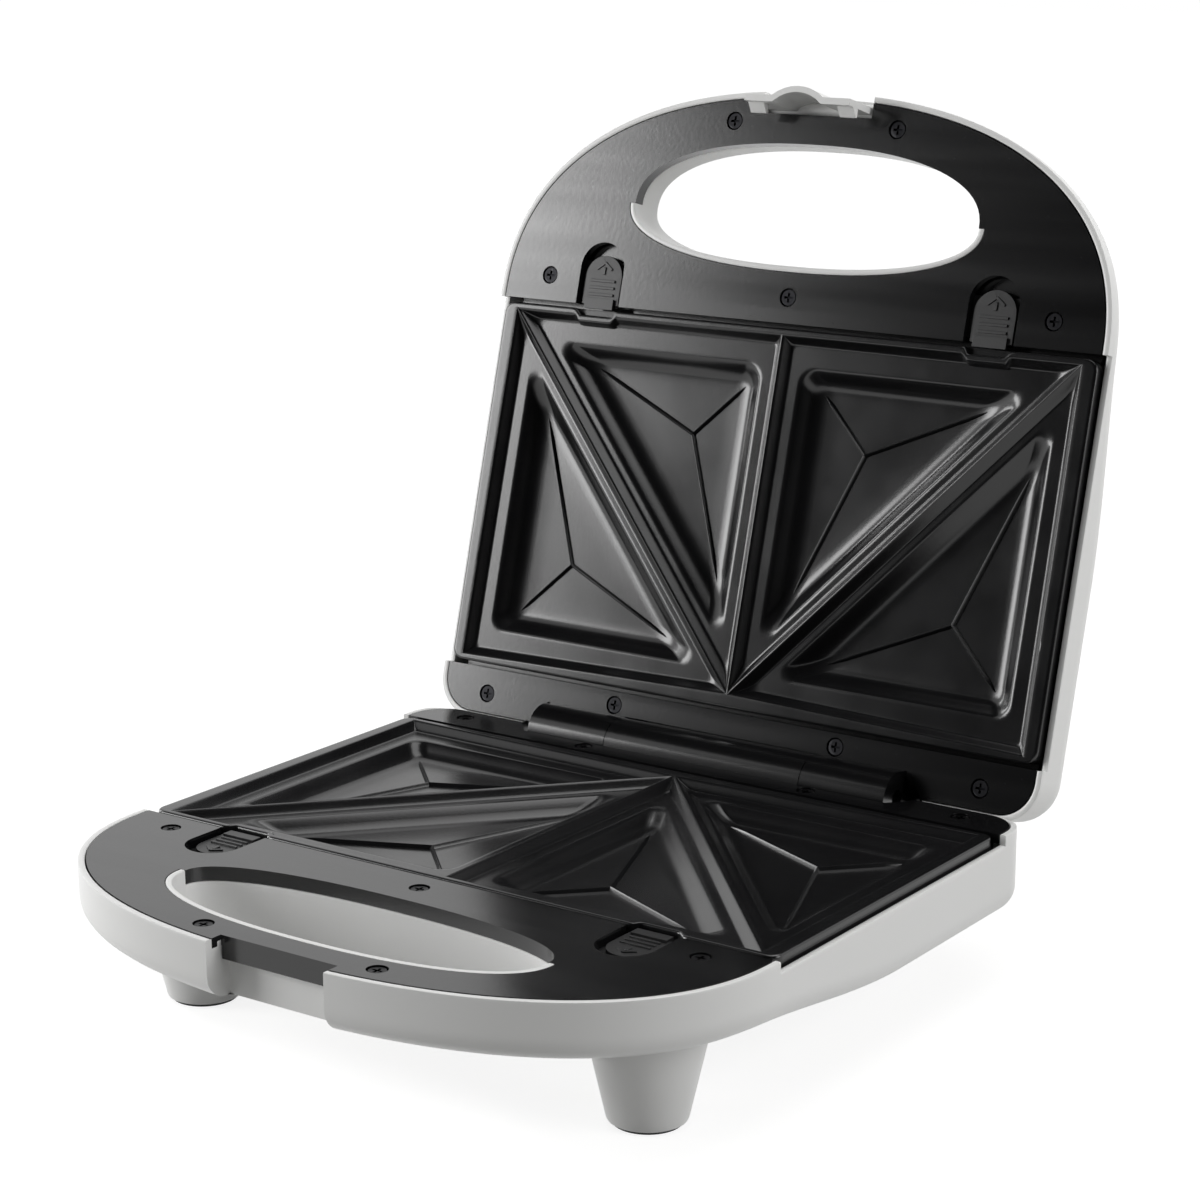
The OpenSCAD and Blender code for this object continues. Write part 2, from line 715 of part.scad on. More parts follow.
module lid_bezel() {
  x0 = mid_barrel_l/2 + barrel_end_gap;
  color(black) in_lid() union() {
    bezel(-1, -hinge_drop, false);
    difference() {
      union() {
        barrel(x0, barrels_end, -hinge_drop);
        barrel(-barrels_end, -x0, -hinge_drop);
      }
      lead_way(-hinge_drop, false);
      screw_recesses();
    }
  }
}

// Corners of the front pocket and of the rear pocket on the right-hand side
rib_off = [rib_dir[1], -rib_dir[0]]*-rib_in;
function on_rib_x(p, x) = [x, p[1] + rib_dir[1]/rib_dir[0]*(x - p[0])];
function on_rib_y(p, y) = [p[0] + rib_dir[0]/rib_dir[1]*(y - p[1]), y];
rib_near = rib_from - rib_off;
rib_far = rib_from + rib_off;
front_pocket = [[centre_in, -front_in], on_rib_y(rib_near, -front_in), on_rib_x(rib_near, centre_in)];
rear_pocket = [[side_in, -rear_in], on_rib_y(rib_far, -rear_in), on_rib_x(rib_far, side_in)];
front_rounds = [6, 3.2, 3.2];
rear_rounds = [5, 3.2, 3.2];

// A pocket's bowl as a skin: inset and depth below the land of each ring
bowl = [[-0.6, -0.6], [0, 0], [1.4, 0.12], [3.2, 0.32], [5.6, 0.66], [8, 0.88], [10.4, 0.98]];
module pocket_skin(corners, rounds, grow) {
  centre = in_centre(corners);
  rin = in_radius(corners);
  line = rounded(corners, rounds);
  rings = [for (b = bowl) let(k = 1 - (b[0] - grow)/rin)
    [for (p = line) [centre[0] + k*(p[0] - centre[0]), centre[1] + k*(p[1] - centre[1]),
      land_z + (b[1] < 0 ? b[1] : b[1]*pocket_depth) + (b[1] < 0 && grow > 0 ? 0.4 : 1)*grow]]];
  loft(rings, [centre[0], centre[1], rings[0][0][2]], [centre[0], centre[1], floor_z + grow]);
}

// Thin ridges that run from a pocket's middle towards its corners
module ridges(corners) {
  centre = in_centre(corners);
  for (p = corners) {
    way = p - centre;
    reach = norm(way) - 3 - 9*norm(way)/in_radius(corners)*0.55;
    translate([centre[0], centre[1], floor_z]) rotate([0, 0, atan2(way[1], way[0])])
      rotate([90, 0, 90]) linear_extrude(reach)
        polygon([[-ridge_h, 0.4], [ridge_h, 0.4], [0, -ridge_h]]);
  }
}

// A rib of triangular section on the land between two points
module rib(from, to) {
  way = to - from;
  translate([from[0], from[1], land_z]) rotate([0, 0, atan2(way[1], way[0])]) rotate([90, 0, 90])
    linear_extrude(norm(way)) polygon([[-slope_w, 0.3], [slope_w, 0.3], [0, -land_depth + 0.1]]);
}

// Cast plate with a rim, ribs and four pockets
module plate() {
  difference() {
    union() {
      difference() {
        slab(plate_w, plate_back, plate_front, plate_r, half_gap, half_gap + plate_edge_h);
        hull() {
          slab(plate_w - 2*side_rim, plate_back + end_rim, plate_front - end_rim, 2.5,
            half_gap - 0.5, half_gap);
          slab(2*side_foot, rear_foot, front_foot, 1.5, land_z - eps, land_z);
        }
        slab(plate_w - 4.4, plate_back + 2.2, plate_front - 2.2, 2.5, land_z + plate_wall, 20);
      }
      rib([0, -rear_foot + slope_w], [0, -plate_front + end_rim]);
      for (side = [-1, 1]) rib([side*rib_from[0], rib_from[1]], [side*rib_to[0], rib_to[1]]);
      for (side = [0, 1]) mirror([side, 0, 0]) {
        difference() {
          union() {
            pocket_skin(front_pocket, front_rounds, plate_wall);
            pocket_skin(rear_pocket, rear_rounds, plate_wall);
          }
          block([-1, -case_w, -10], [case_w, case_w, land_z + 0.6]);
        }
        // Rim bulge around the button's tongue
        block([button_x - lug_w/2 - 2.2, -plate_front + end_rim - 0.5, half_gap],
          [button_x + lug_w/2 + 2.2, -front_foot + 0.2, land_z + 0.5]);
      }
    }
    for (side = [0, 1]) mirror([side, 0, 0]) {
      pocket_skin(front_pocket, front_rounds, 0);
      pocket_skin(rear_pocket, rear_rounds, 0);
      block([button_x - lug_w/2, -plate_front - 1, -1],
        [button_x + lug_w/2, -plate_front + lug_d, half_gap + lug_h]);
    }
  }
  for (side = [0, 1]) mirror([side, 0, 0]) {
    ridges(front_pocket);
    ridges(rear_pocket);
  }
}

module base_plate() {
  color(plate_grey) in_base() plate();
}

module lid_plate() {
  color(plate_grey) in_lid() plate();
}

// Formed steel tray under a plate, with a flange, a shallow pan and a deep pan
module reflector() {
  difference() {
    union() {
      slab(tray_w, plate_back + 0.4, plate_front - 0.4, 5, flange_z, flange_z + sheet_t);
      slab(shallow_w, shallow_back, shallow_front, 6, flange_z, shallow_z + sheet_t);
      slab(deep_w, deep_back, deep_front, 6, flange_z, deep_z + sheet_t);
    }
    slab(shallow_w - 2*sheet_t, shallow_back + sheet_t, shallow_front - sheet_t, 6 - sheet_t,
      flange_z - 1, shallow_z);
    slab(deep_w - 2*sheet_t, deep_back + sheet_t, deep_front - sheet_t, 6 - sheet_t,
      flange_z - 1, deep_z);
    for (side = [-1, 1]) translate([side*heater_end_x, 0, heater_z]) rotate([90, 0, 0])
      cylinder(r = heater_r + 0.4, h = deep_back + 4);
    tray_screw_holes(screw_r - 0.1);
  }
}

module base_reflector() {
  color(bright) in_base() reflector();
}

module lid_reflector() {
  color(bright) in_lid() reflector();
}

// A straight run of heater tube between two points of a half
module run(from, to, r) {
  way = to - from;
  translate([from[0], from[1], heater_z]) rotate([0, 0, atan2(way[1], way[0])])
    rotate([0, 90, 0]) cylinder(r = r, h = norm(way));
}

// A quarter bend of heater tube about a centre, from a given angle
module bend(x, y, from) {
  translate([x, y, heater_z]) rotate([0, 0, from]) rotate_extrude(angle = 90)
    translate([heater_bend, 0]) circle(heater_r);
}

// Tubular heater: one loop around the tray with both ends at the back
module heater() {
  b = heater_bend;
  run([-heater_x + b, -heater_front], [heater_x - b, -heater_front], heater_r);
  for (side = [0, 1]) mirror([side, 0, 0]) {
    run([heater_end_x, -heater_end_back - insulator_l], [heater_end_x, -heater_back + b], heater_r);
    bend(heater_end_x + b, -heater_back + b, 180);
    run([heater_end_x + b, -heater_back], [heater_x - b, -heater_back], heater_r);
    bend(heater_x - b, -heater_back - b, 0);
    run([heater_x, -heater_back - b], [heater_x, -heater_front + b], heater_r);
    bend(heater_x - b, -heater_front + b, 270);
  }
}

module base_heater() {
  color(dark_steel) in_base() heater();
}

module lid_heater() {
  color(dark_steel) in_lid() heater();
}

// Ceramic ends of the heater with their terminal pins
module heater_ends() {
  for (side = [-1, 1]) translate([side*heater_end_x, 0, heater_z]) rotate([90, 0, 0]) {
    translate([0, 0, heater_end_back]) cylinder(r = heater_r + 0.8, h = insulator_l);
    translate([0, 0, heater_end_back - 2]) cylinder(r = 1.1, h = 2);
  }
}

module base_heater_ends() {
  color("ivory") in_base() heater_ends();
}

module lid_heater_ends() {
  color("ivory") in_lid() heater_ends();
}

// Small steel saddles that carry the heater tube on the tray's floor
module saddles() {
  for (side = [-1, 1]) {
    saddle(side*heater_x, -(heater_front + heater_back)/2, 0);
    saddle(side*heater_x/2, -heater_front, 90);
  }
}

module saddle(x, y, turn) {
  translate([x, y, 0]) rotate([0, 0, turn]) difference() {
    block([-4.4, -3, heater_z], [4.4, 3, deep_z]);
    translate([0, 0, heater_z]) rotate([90, 0, 0]) cylinder(r = heater_r + 0.1, h = 20, center = true);
  }
}

module base_saddles() {
  color(bright) in_base() saddles();
}

module lid_saddles() {
  color(bright) in_lid() saddles();
}

// Screws that hold a tray's flange to the bezel's frame
module tray_screws() {
  for (x = [-1, 1], y = [plate_back + 12, plate_front - 13])
    translate([x*(shallow_w/2 + 3.6), -y, 0]) {
      translate([0, 0, flange_z - 0.9]) cylinder(r = 2, h = 0.9);
      translate([0, 0, flange_z - eps]) cylinder(r = screw_r - 0.2, h = frame_t + 1.6);
    }
}

module base_tray_screws() {
  color(bright) in_base() tray_screws();
}

module lid_tray_screws() {
  color(bright) in_lid() tray_screws();
}

// Sliding release button with an arched end, grip ribs, an arrow and a tongue
module button() {
  r = button_w/2;
  translate([0, 0, button_top]) linear_extrude(button_t) {
    translate([-r, -button_end + r]) square([button_w, button_end - r - button_y0]);
    translate([0, -button_end + r]) circle(r);
  }
  block([-wing_w/2, -wing_end, wing_z], [wing_w/2, -button_y0 - 1.5, wing_z + wing_t]);
  block([-leg_w/2, -leg_y - leg_t, wing_z], [leg_w/2, -leg_y, leg_end_z]);
  block([-tongue_w/2, -button_y0 - 2, half_gap + 0.7],
    [tongue_w/2, -plate_front - 0.3, half_gap + lug_h - 0.3]);
  for (k = [0:2]) block([-button_w*0.34, -button_y0 - 3.9 - 2.4*k, button_top - 0.5],
    [button_w*0.34, -button_y0 - 3 - 2.4*k, button_top + 0.5]);
  // Arrow that shows which way the button slides
  for (side = [-1, 1]) translate([0, -button_end + 2.4, button_top - 0.4]) rotate([0, 0, side*52])
    translate([-0.4, 0, 0]) cube([0.8, 4, 0.9]);
  block([-0.5, -button_end + 4, button_top - 0.4], [0.5, -button_end + 6.6, button_top + 0.5]);
}

module base_button_left() {
  color(black) in_base() translate([-button_x, 0, 0]) button();
}

module base_button_right() {
  color(black) in_base() translate([button_x, 0, 0]) button();
}

module lid_button_left() {
  color(black) in_lid() translate([-button_x, 0, 0]) button();
}

module lid_button_right() {
  color(black) in_lid() translate([button_x, 0, 0]) button();
}

// Return spring under a button's pan, as the tube that its coils fill
module spring() {
  translate([0, -leg_y - leg_t, spring_z]) rotate([90, 0, 0]) difference() {
    cylinder(r = spring_r, h = spring_l);
    translate([0, 0, -1]) cylinder(r = spring_r - spring_wire, h = spring_l + 2);
  }
}

module base_spring_left() {
  color(bright) in_base() translate([-button_x, 0, 0]) spring();
}

module base_spring_right() {
  color(bright) in_base() translate([button_x, 0, 0]) spring();
}

module lid_spring_left() {
  color(bright) in_lid() translate([-button_x, 0, 0]) spring();
}

module lid_spring_right() {
  color(bright) in_lid() translate([button_x, 0, 0]) spring();
}

// Cross-head screws that hold a bezel to its casing
module bezel_screws() {
  z = half_gap + head_sink;
  for (p = screw_places) translate([p[0], -p[1], 0]) difference() {
    union() {
      translate([0, 0, z]) cylinder(r = screw_head_r, h = recess_d - head_sink);
      translate([0, 0, half_gap + recess_d - eps]) cylinder(r = screw_r, h = screw_l);
    }
    block([-cross_l/2, -cross_w/2, z - 1], [cross_l/2, cross_w/2, z + cross_d]);
    block([-cross_w/2, -cross_l/2, z - 1], [cross_w/2, cross_l/2, z + cross_d]);
  }
}

module base_screws() {
  color(dark_steel) in_base() bezel_screws();
}

module lid_screws() {
  color(dark_steel) in_lid() bezel_screws();
}

// A lead as a chain of round rods through a list of points
module lead(path, r) {
  for (i = [0:len(path) - 2]) {
    way = path[i + 1] - path[i];
    translate(path[i]) rotate([0, acos(way[2]/norm(way)), atan2(way[1], way[0])])
      cylinder(r = r, h = norm(way));
    if (i > 0) translate(path[i]) sphere(r*1.15);
  }
}

// Sleeved leads of the base: from the terminal block to the hinge, the heater and the fuse
module base_leads() {
  d = base_rear_d - wall - 3.4;
  start = block_x - block_w/2;
  color([0.85, 0.82, 0.7]) in_base() union() {
    lead([[start, -block_back - 6.8, d], [base_lead_x + 6, -block_back - 5, d],
      [base_lead_x + 0.5, -13, hinge_drop + 13], [base_lead_x, 0, hinge_drop],
      [mid_barrel_l/2, 0, hinge_drop]], 0.9*lead_r);
    lead([[heater_end_x, -lead_start, heater_z], [heater_end_x, -lead_start - 0.4, d - 1],
      [heater_end_x + 8, -block_back - 9.9, d], [start, -block_back - 9.9, d]], thin_lead_r);
    lead([[-heater_end_x, -lead_start, heater_z], [-heater_end_x, -11, d],
      [-heater_end_x, -deep_back - 14, d + 0.6]], thin_lead_r);
  }
}

// Sleeved leads of the lid, from the hinge to beside the heater's end
module lid_leads() {
  x0 = mid_barrel_l/2 + barrel_end_gap;
  d = lid_rear_d - 7.5;
  color([0.85, 0.82, 0.7]) in_lid() union() {
    lead([[x0, 0, -hinge_drop], [lid_lead_x, 0, -hinge_drop], [lid_lead_x, -14, 14 - hinge_drop],
      [lid_lead_x - 8, -block_back - 6.6, d], [38, -block_back - 6.6, d],
      [heater_end_x + 6, -12, d]], lead_r);
  }
}

// Rubber pads under the feet
module foot_pads() {
  color(black) in_base() for (p = foot_places)
    translate([p[0], -p[1], stand_h - pad_t]) cylinder(r = pad_r, h = pad_t);
}

// Hinge pins: the left one is solid, the right one is a tube that the leads pass through
module hinge_pin_left() {
  color(bright) in_base()
    hinge_round(-mid_barrel_l/2 - pin_l/2, -mid_barrel_l/2 + pin_l/2, pin_r, hinge_drop);
}

module hinge_pin_right() {
  color(bright) in_base() difference() {
    hinge_round(mid_barrel_l/2 - pin_l/2, lid_lead_x - 3, pin_r, hinge_drop);
    hinge_round(mid_barrel_l/2 - pin_l/2 - 1, lid_lead_x, hollow_pin_r, hinge_drop);
  }
}

// Bush in the back wall that a mains cord enters through
module cord_gland() {
  color(black) in_base() translate([gland_x, 0, gland_z]) rotate([90, 0, 0]) difference() {
    union() {
      translate([0, 0, -case_back - 2.5]) cylinder(r = gland_r + gland_flange, h = 2.3);
      translate([0, 0, -case_back - 2.5]) cylinder(r = gland_r, h = 12);
      translate([0, 0, -case_back + wall + 0.3]) cylinder(r = gland_r + gland_flange, h = 1.8);
    }
    translate([0, 0, -case_back - 3.5]) cylinder(r = cord_r, h = 14);
  }
}

module terminal_block() {
  color("ivory") in_base() difference() {
    block([block_x - block_w/2, -block_front, base_rear_d - wall - 9.8],
      [block_x + block_w/2, -block_back, base_rear_d - wall - 0.3]);
    for (k = [-1, 0, 1]) translate([block_x + 7*k, -(block_back + block_front)/2, 0])
      cylinder(r = 1.8, h = base_rear_d - wall - 5);
  }
}

// Snap disc thermostat on the underside of the lower tray
module thermostat() {
  z = deep_z + sheet_t;
  color("ivory") in_base() union() {
    translate([0, -slope_back + 10, z]) cylinder(r = 8, h = 2.4);
    translate([0, -slope_back + 10, z + 2.4 - eps]) cylinder(r = 6.4, h = 2.6);
    for (side = [-1, 1]) block([side*3.4 - 1.6, -slope_back + 9.6, z + 4.9],
      [side*3.4 + 1.6, -slope_back + 10.4, z + 6.2]);
  }
}

// Thermal fuse in a clip on the underside of the lower tray
module thermal_fuse() {
  z = deep_z + sheet_t;
  color(bright) in_base() union() {
    translate([30, -slope_back + 24, z + 2.3]) rotate([0, 90, 0]) cylinder(r = 1.9, h = 12);
    translate([22, -slope_back + 24, z + 2.3]) rotate([0, 90, 0]) cylinder(r = 0.6, h = 28);
    block([33, -slope_back + 21, z], [38, -slope_back + 27, z + 0.8]);
  }
}

// White clip that holds the lid shut, with an arched grip and two hooks
module latch() {
  color(white) in_lid() difference() {
    union() {
      translate([0, 0, -latch_reach]) linear_extrude(latch_reach + latch_pin_z) difference() {
        union() {
          translate([-latch_half, -latch_in_y - latch_t]) square([2*latch_half, latch_t]);
          intersection() {
            translate([0, -latch_in_y - grip_rise + grip_r]) circle(grip_r, $fn = 96);
            translate([-grip_half_w, -case_front - 5]) square([2*grip_half_w, case_front + 5 - latch_in_y]);
          }
        }
        intersection() {
          translate([0, -latch_in_y - grip_rise + grip_r]) circle(grip_r - latch_t + 0.2, $fn = 96);
          translate([-grip_half_w, -case_front - 5]) square([2*grip_half_w, case_front + 6 - latch_in_y]);
        }
      }
      translate([0, -latch_pin_y, latch_pin_z]) rotate([0, 90, 0])
        cylinder(r = latch_barrel_r, h = 2*latch_half, center = true);
      for (side = [-1, 1]) translate([side*(latch_half - hook_w/2) - hook_w/2, 0, 0])
        rotate([90, 0, 90]) linear_extrude(hook_w) polygon([[-latch_in_y - 0.5, -hook_z],
          [-latch_in_y + hook_in, -hook_z], [-latch_in_y + hook_in, -hook_z - 0.8],
          [-latch_in_y, -hook_z - hook_h], [-latch_in_y - 0.5, -hook_z - hook_h]]);
    }
    translate([0, -latch_pin_y, latch_pin_z]) rotate([0, 90, 0])
      cylinder(r = latch_pin_r + latch_pin_play, h = notch_w, center = true);
  }
}

module latch_pin() {
  color(bright) in_lid() translate([0, -latch_pin_y, latch_pin_z]) rotate([0, 90, 0])
    cylinder(r = latch_pin_r, h = notch_w + 2*wall - 1.4, center = true);
}

// Lens of an indicator lamp in the top of the lid
module lens(side) {
  z = depth_at(lens_y, lid_rear_d, lid_front_d);
  translate([side*lens_x, -lens_y, 0]) {
    translate([0, 0, z - wall - 2.6]) cylinder(r = lens_r, h = wall + 3.6);
    translate([0, 0, z - wall - 2.6]) cylinder(r = lens_r + 1.2, h = 1.4);
  }
}

module power_lens() {
  color("red") in_lid() lens(-1);
}

module ready_lens() {
  color("green") in_lid() lens(1);
}

// Small glow lamp behind a lens
module lamp(side) {
  z = depth_at(lens_y, lid_rear_d, lid_front_d) - wall - 3;
  translate([side*lens_x, -lens_y, z - lamp_l + lamp_r]) {
    cylinder(r = lamp_r, h = lamp_l - 2*lamp_r);
    translate([0, 0, lamp_l - 2*lamp_r]) sphere(lamp_r);
    translate([0, 0, -2]) cylinder(r = 1, h = 2.5);
  }
}

module power_lamp() {
  color("orange") in_lid() lamp(-1);
}

module ready_lamp() {
  color("orange") in_lid() lamp(1);
}

base_shell();
base_floor();
base_bezel();
base_reflector();
base_heater();
base_heater_ends();
base_saddles();
base_tray_screws();
base_plate();
base_button_left();
base_button_right();
base_spring_left();
base_spring_right();
base_screws();
base_leads();
base_feet();
foot_pads();
hinge_pin_left();
hinge_pin_right();
cord_gland();
terminal_block();
thermostat();
thermal_fuse();
lid_shell();
lid_bezel();
lid_reflector();
lid_heater();
lid_heater_ends();
lid_saddles();
lid_tray_screws();
lid_plate();
lid_button_left();
lid_button_right();
lid_spring_left();
lid_spring_right();
lid_screws();
lid_leads();
latch();
latch_pin();
power_lens();
ready_lens();
power_lamp();
ready_lamp();
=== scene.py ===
import math
import bpy
import numpy as np
from mathutils import Matrix


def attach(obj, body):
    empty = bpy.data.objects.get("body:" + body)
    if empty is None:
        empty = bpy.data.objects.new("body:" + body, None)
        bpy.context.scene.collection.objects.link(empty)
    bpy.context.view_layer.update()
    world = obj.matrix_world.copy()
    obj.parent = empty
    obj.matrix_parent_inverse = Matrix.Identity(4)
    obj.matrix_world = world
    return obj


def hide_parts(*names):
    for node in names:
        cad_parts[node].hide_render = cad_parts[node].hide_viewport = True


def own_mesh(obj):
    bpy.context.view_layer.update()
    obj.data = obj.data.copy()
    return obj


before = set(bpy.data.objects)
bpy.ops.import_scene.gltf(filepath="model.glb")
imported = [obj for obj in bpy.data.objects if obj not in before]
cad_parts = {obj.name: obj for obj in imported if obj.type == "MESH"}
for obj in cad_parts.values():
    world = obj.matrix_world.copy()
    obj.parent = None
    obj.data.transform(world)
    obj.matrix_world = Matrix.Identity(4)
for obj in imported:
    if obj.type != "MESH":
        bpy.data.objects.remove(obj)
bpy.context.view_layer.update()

# Camera: a short telephoto lens from the front right, a little above the toaster.
# The place and the turn were worked out from the photographed edges, in the row's frame. from_hinge is
# the way from the hinge's middle to the camera in mm, along the camera's own axes.
focal_px, image_px, sensor_mm = 2953.37, 1200, 36.0
turn, rise, roll = 0.6120572668, 0.2425129323, -0.0016345740
hinge_y, stand_h = 75.36, 50.5
from_hinge = np.array([-37.2535, 52.0285, 975.673])
back = np.array([math.sin(turn)*math.cos(rise), -math.cos(turn)*math.cos(rise), math.sin(rise)])
right = np.cross([0, 0, 1], back)
right /= np.linalg.norm(right)
up = np.cross(back, right)
rolled = np.array([[math.cos(roll), math.sin(roll), 0], [-math.sin(roll), math.cos(roll), 0], [0, 0, 1]])
axes = rolled @ np.array([right, up, back])
place = axes.T @ from_hinge + np.array([0, hinge_y, stand_h])
lens = bpy.data.cameras.new("camera")
lens.sensor_width = sensor_mm
lens.lens = focal_px*sensor_mm/image_px
lens.clip_start, lens.clip_end = 0.05, 20
camera = bpy.data.objects.new("camera", lens)
turned = np.eye(4)
turned[:3, :3] = axes.T
turned[:3, 3] = place/1000
camera.matrix_world = Matrix(turned.tolist())
bpy.context.scene.collection.objects.link(camera)
bpy.context.scene.camera = camera
bpy.context.scene.view_settings.view_transform = "Standard"


def linear(code):
    """An sRGB hex code as linear colour: each channel over 255, then the sRGB curve taken off."""
    parts = [int(code[k:k + 2], 16)/255 for k in (0, 2, 4)]
    return [c/12.92 if c <= 0.04045 else ((c + 0.055)/1.055)**2.4 for c in parts] + [1.0]


def add(tree, kind, inputs={}, **settings):
    """Adds a shader node: settings are its own, and each input is a value or the socket that feeds it."""
    made = tree.nodes.new(kind)
    for name, value in settings.items():
        setattr(made, name, value)
    for name, value in inputs.items():
        if isinstance(value, bpy.types.NodeSocket):
            tree.links.new(value, made.inputs[name])
        else:
            made.inputs[name].default_value = value
    return made


def empty_material(name):
    """A material that holds only its output node."""
    made = bpy.data.materials.new(name)
    made.use_nodes = True
    made.node_tree.nodes.clear()
    return made, made.node_tree, add(made.node_tree, "ShaderNodeOutputMaterial")


# The studio table: a matt white laminate top that runs on into a white paper sweep.
# The camera and gloss see it as white, and it keeps the toaster's shadow.
def seen(tree):
    """1 for rays that the camera, gloss or glass sends out, and 0 for light that falls on a surface."""
    path = add(tree, "ShaderNodeLightPath")
    gloss = add(tree, "ShaderNodeMath", {0: path.outputs["Is Glossy Ray"],
                1: path.outputs["Is Transmission Ray"]}, operation="MAXIMUM")
    return add(tree, "ShaderNodeMath", {0: path.outputs["Is Camera Ray"], 1: gloss.outputs[0]},
               operation="MAXIMUM").outputs[0]


table_top, tree, out = empty_material("white_laminate_table")
matt = add(tree, "ShaderNodeBsdfDiffuse", {"Color": linear("9c9c9b")})
where = add(tree, "ShaderNodeTexCoord").outputs["Object"]
far = add(tree, "ShaderNodeVectorMath", {0: where}, operation="LENGTH")
sweep = add(tree, "ShaderNodeMapRange", {"Value": far.outputs["Value"], "From Min": 0.3, "From Max": 1.6,
            "To Min": 0.84, "To Max": 1.0})
lift = add(tree, "ShaderNodeMath", {0: seen(tree), 1: sweep.outputs[0]}, operation="MULTIPLY")
glow = add(tree, "ShaderNodeEmission", {"Color": linear("ffffff"), "Strength": lift.outputs[0]})
both = add(tree, "ShaderNodeAddShader", {0: matt.outputs[0], 1: glow.outputs[0]})
tree.links.new(both.outputs[0], out.inputs["Surface"])
top = bpy.data.meshes.new("table")
top.from_pydata([(-6, -6, 0), (6, -6, 0), (6, 6, 0), (-6, 6, 0)], [], [(0, 1, 2, 3)])
table = bpy.data.objects.new("table", top)
bpy.context.scene.collection.objects.link(table)
table.data.materials.append(table_top)

# The room: white paper all round, dim enough for the lamps to shape the toaster.
room = bpy.data.worlds.new("white_room")
room.use_nodes = True
tree = room.node_tree
tree.nodes.clear()
soft = add(tree, "ShaderNodeBackground", {"Color": linear("ffffff"), "Strength": 0.13})
bright = add(tree, "ShaderNodeBackground", {"Color": linear("ffffff"), "Strength": 1.0})
walls = add(tree, "ShaderNodeMixShader", {0: seen(tree), 1: soft.outputs[0], 2: bright.outputs[0]})
out = add(tree, "ShaderNodeOutputWorld", {"Surface": walls.outputs[0]})
bpy.context.scene.world = room


# Lamps: a broad softbox overhead, a strip and a narrow box on the left, and a softbox on the right.
# Places and sizes are in metres.
def softbox(name, where, look, size, watts):
    """An oblong area lamp at one point, turned to look at another."""
    lamp = bpy.data.lights.new(name, "AREA")
    lamp.shape = "RECTANGLE"
    lamp.size, lamp.size_y = size
    lamp.energy = watts
    made = bpy.data.objects.new(name, lamp)
    aim = np.array(where, float) - np.array(look, float)
    aim /= np.linalg.norm(aim)
    side = np.cross([0, 0, 1], aim)
    side /= np.linalg.norm(side)
    held = np.eye(4)
    held[:3, 0], held[:3, 1], held[:3, 2], held[:3, 3] = side, np.cross(aim, side), aim, where
    made.matrix_world = Matrix(held.tolist())
    bpy.context.scene.collection.objects.link(made)


softbox("overhead_softbox", (0.15, 0.35, 1.3), (0, 0.02, 0.05), (1.0, 0.8), 7)
softbox("left_strip_box", (-1.06, -0.8, 0.45), (0, 0.05, 0.15), (0.5, 0.65), 9.5)
softbox("left_side_softbox", (-1.3, 0.05, 0.45), (0, 0.05, 0.15), (0.26, 0.8), 5.5)
softbox("right_softbox", (1.3, 0.15, 0.6), (0, 0.05, 0.1), (0.7, 0.8), 7.6)

# Black flags in front of the table, to its right and over it keep the paper's glare off the dark
# inner faces.
flag_cloth, tree, out = empty_material("black_flag_cloth")
cloth = add(tree, "ShaderNodeBsdfDiffuse", {"Color": linear("101010")})
tree.links.new(cloth.outputs[0], out.inputs["Surface"])
flag_top = 2.2
stands = [(-1.3, -1.5), (1.5, -1.2), (2.2, 0.9)]
corners = [(x, y, 0.0) for x, y in stands]
corners += [(x, y, flag_top) for x, y in stands + [(-2.4, -0.2), (-2.4, 1.0)]]
sheet = bpy.data.meshes.new("flag")
sheet.from_pydata(corners, [], [(0, 1, 4, 3), (1, 2, 5, 4), (3, 4, 5, 7, 6)])
flag = bpy.data.objects.new("flag", sheet)
bpy.context.scene.collection.objects.link(flag)
flag.data.materials.append(flag_cloth)
flag.visible_camera = False
flag.visible_diffuse = False


# Lower casing: one injection moulding in white ABS, a shallow tub with a hole for the hand at the
# front, four feet, and two ribs and the cord gland's hole in its rear wall. Its wall rolls into a
# flat underside, and its thin lip frames the black bezel, which screws hold into it.
def smooth(t):
    """A step from 0 to 1 that starts and ends level: 3t squared less 2t cubed."""
    t = np.clip(t, 0, 1)
    return t*t*(3 - 2*t)


# Sizes in mm, in a half's own frame: x across, y back from the hinge, z down into the casing.
hinge_drop, open_turn = 1.8, math.radians(105.5)
case_w, nose_len, side_end, corner_r, nose_power = 234.0, 77.0, 147.0, 14.0, 2.3
hole_mid, hole_half, hole_front, hole_rear = 183.0, 66.0, 23.5, 17.0
wall, rear_face, face_z, seat_z, skirt_z, lip_round = 2.0, 1.0, 0.25, 3.3, 4.75, 0.4
opening_back, opening_z, rear_dip = 17.0, 3.5, 0.8
trough_end, trough_slope, trough_tip_r, trough_r = 77.4, 6.9, 4.8, 11.4
notch_half, notch_front, pocket_z = 21, 200, 7.6
base_panel, lid_panel, back_mid = 214.1, 216.2, -112.0
ease_front, ease_run = 165, 90


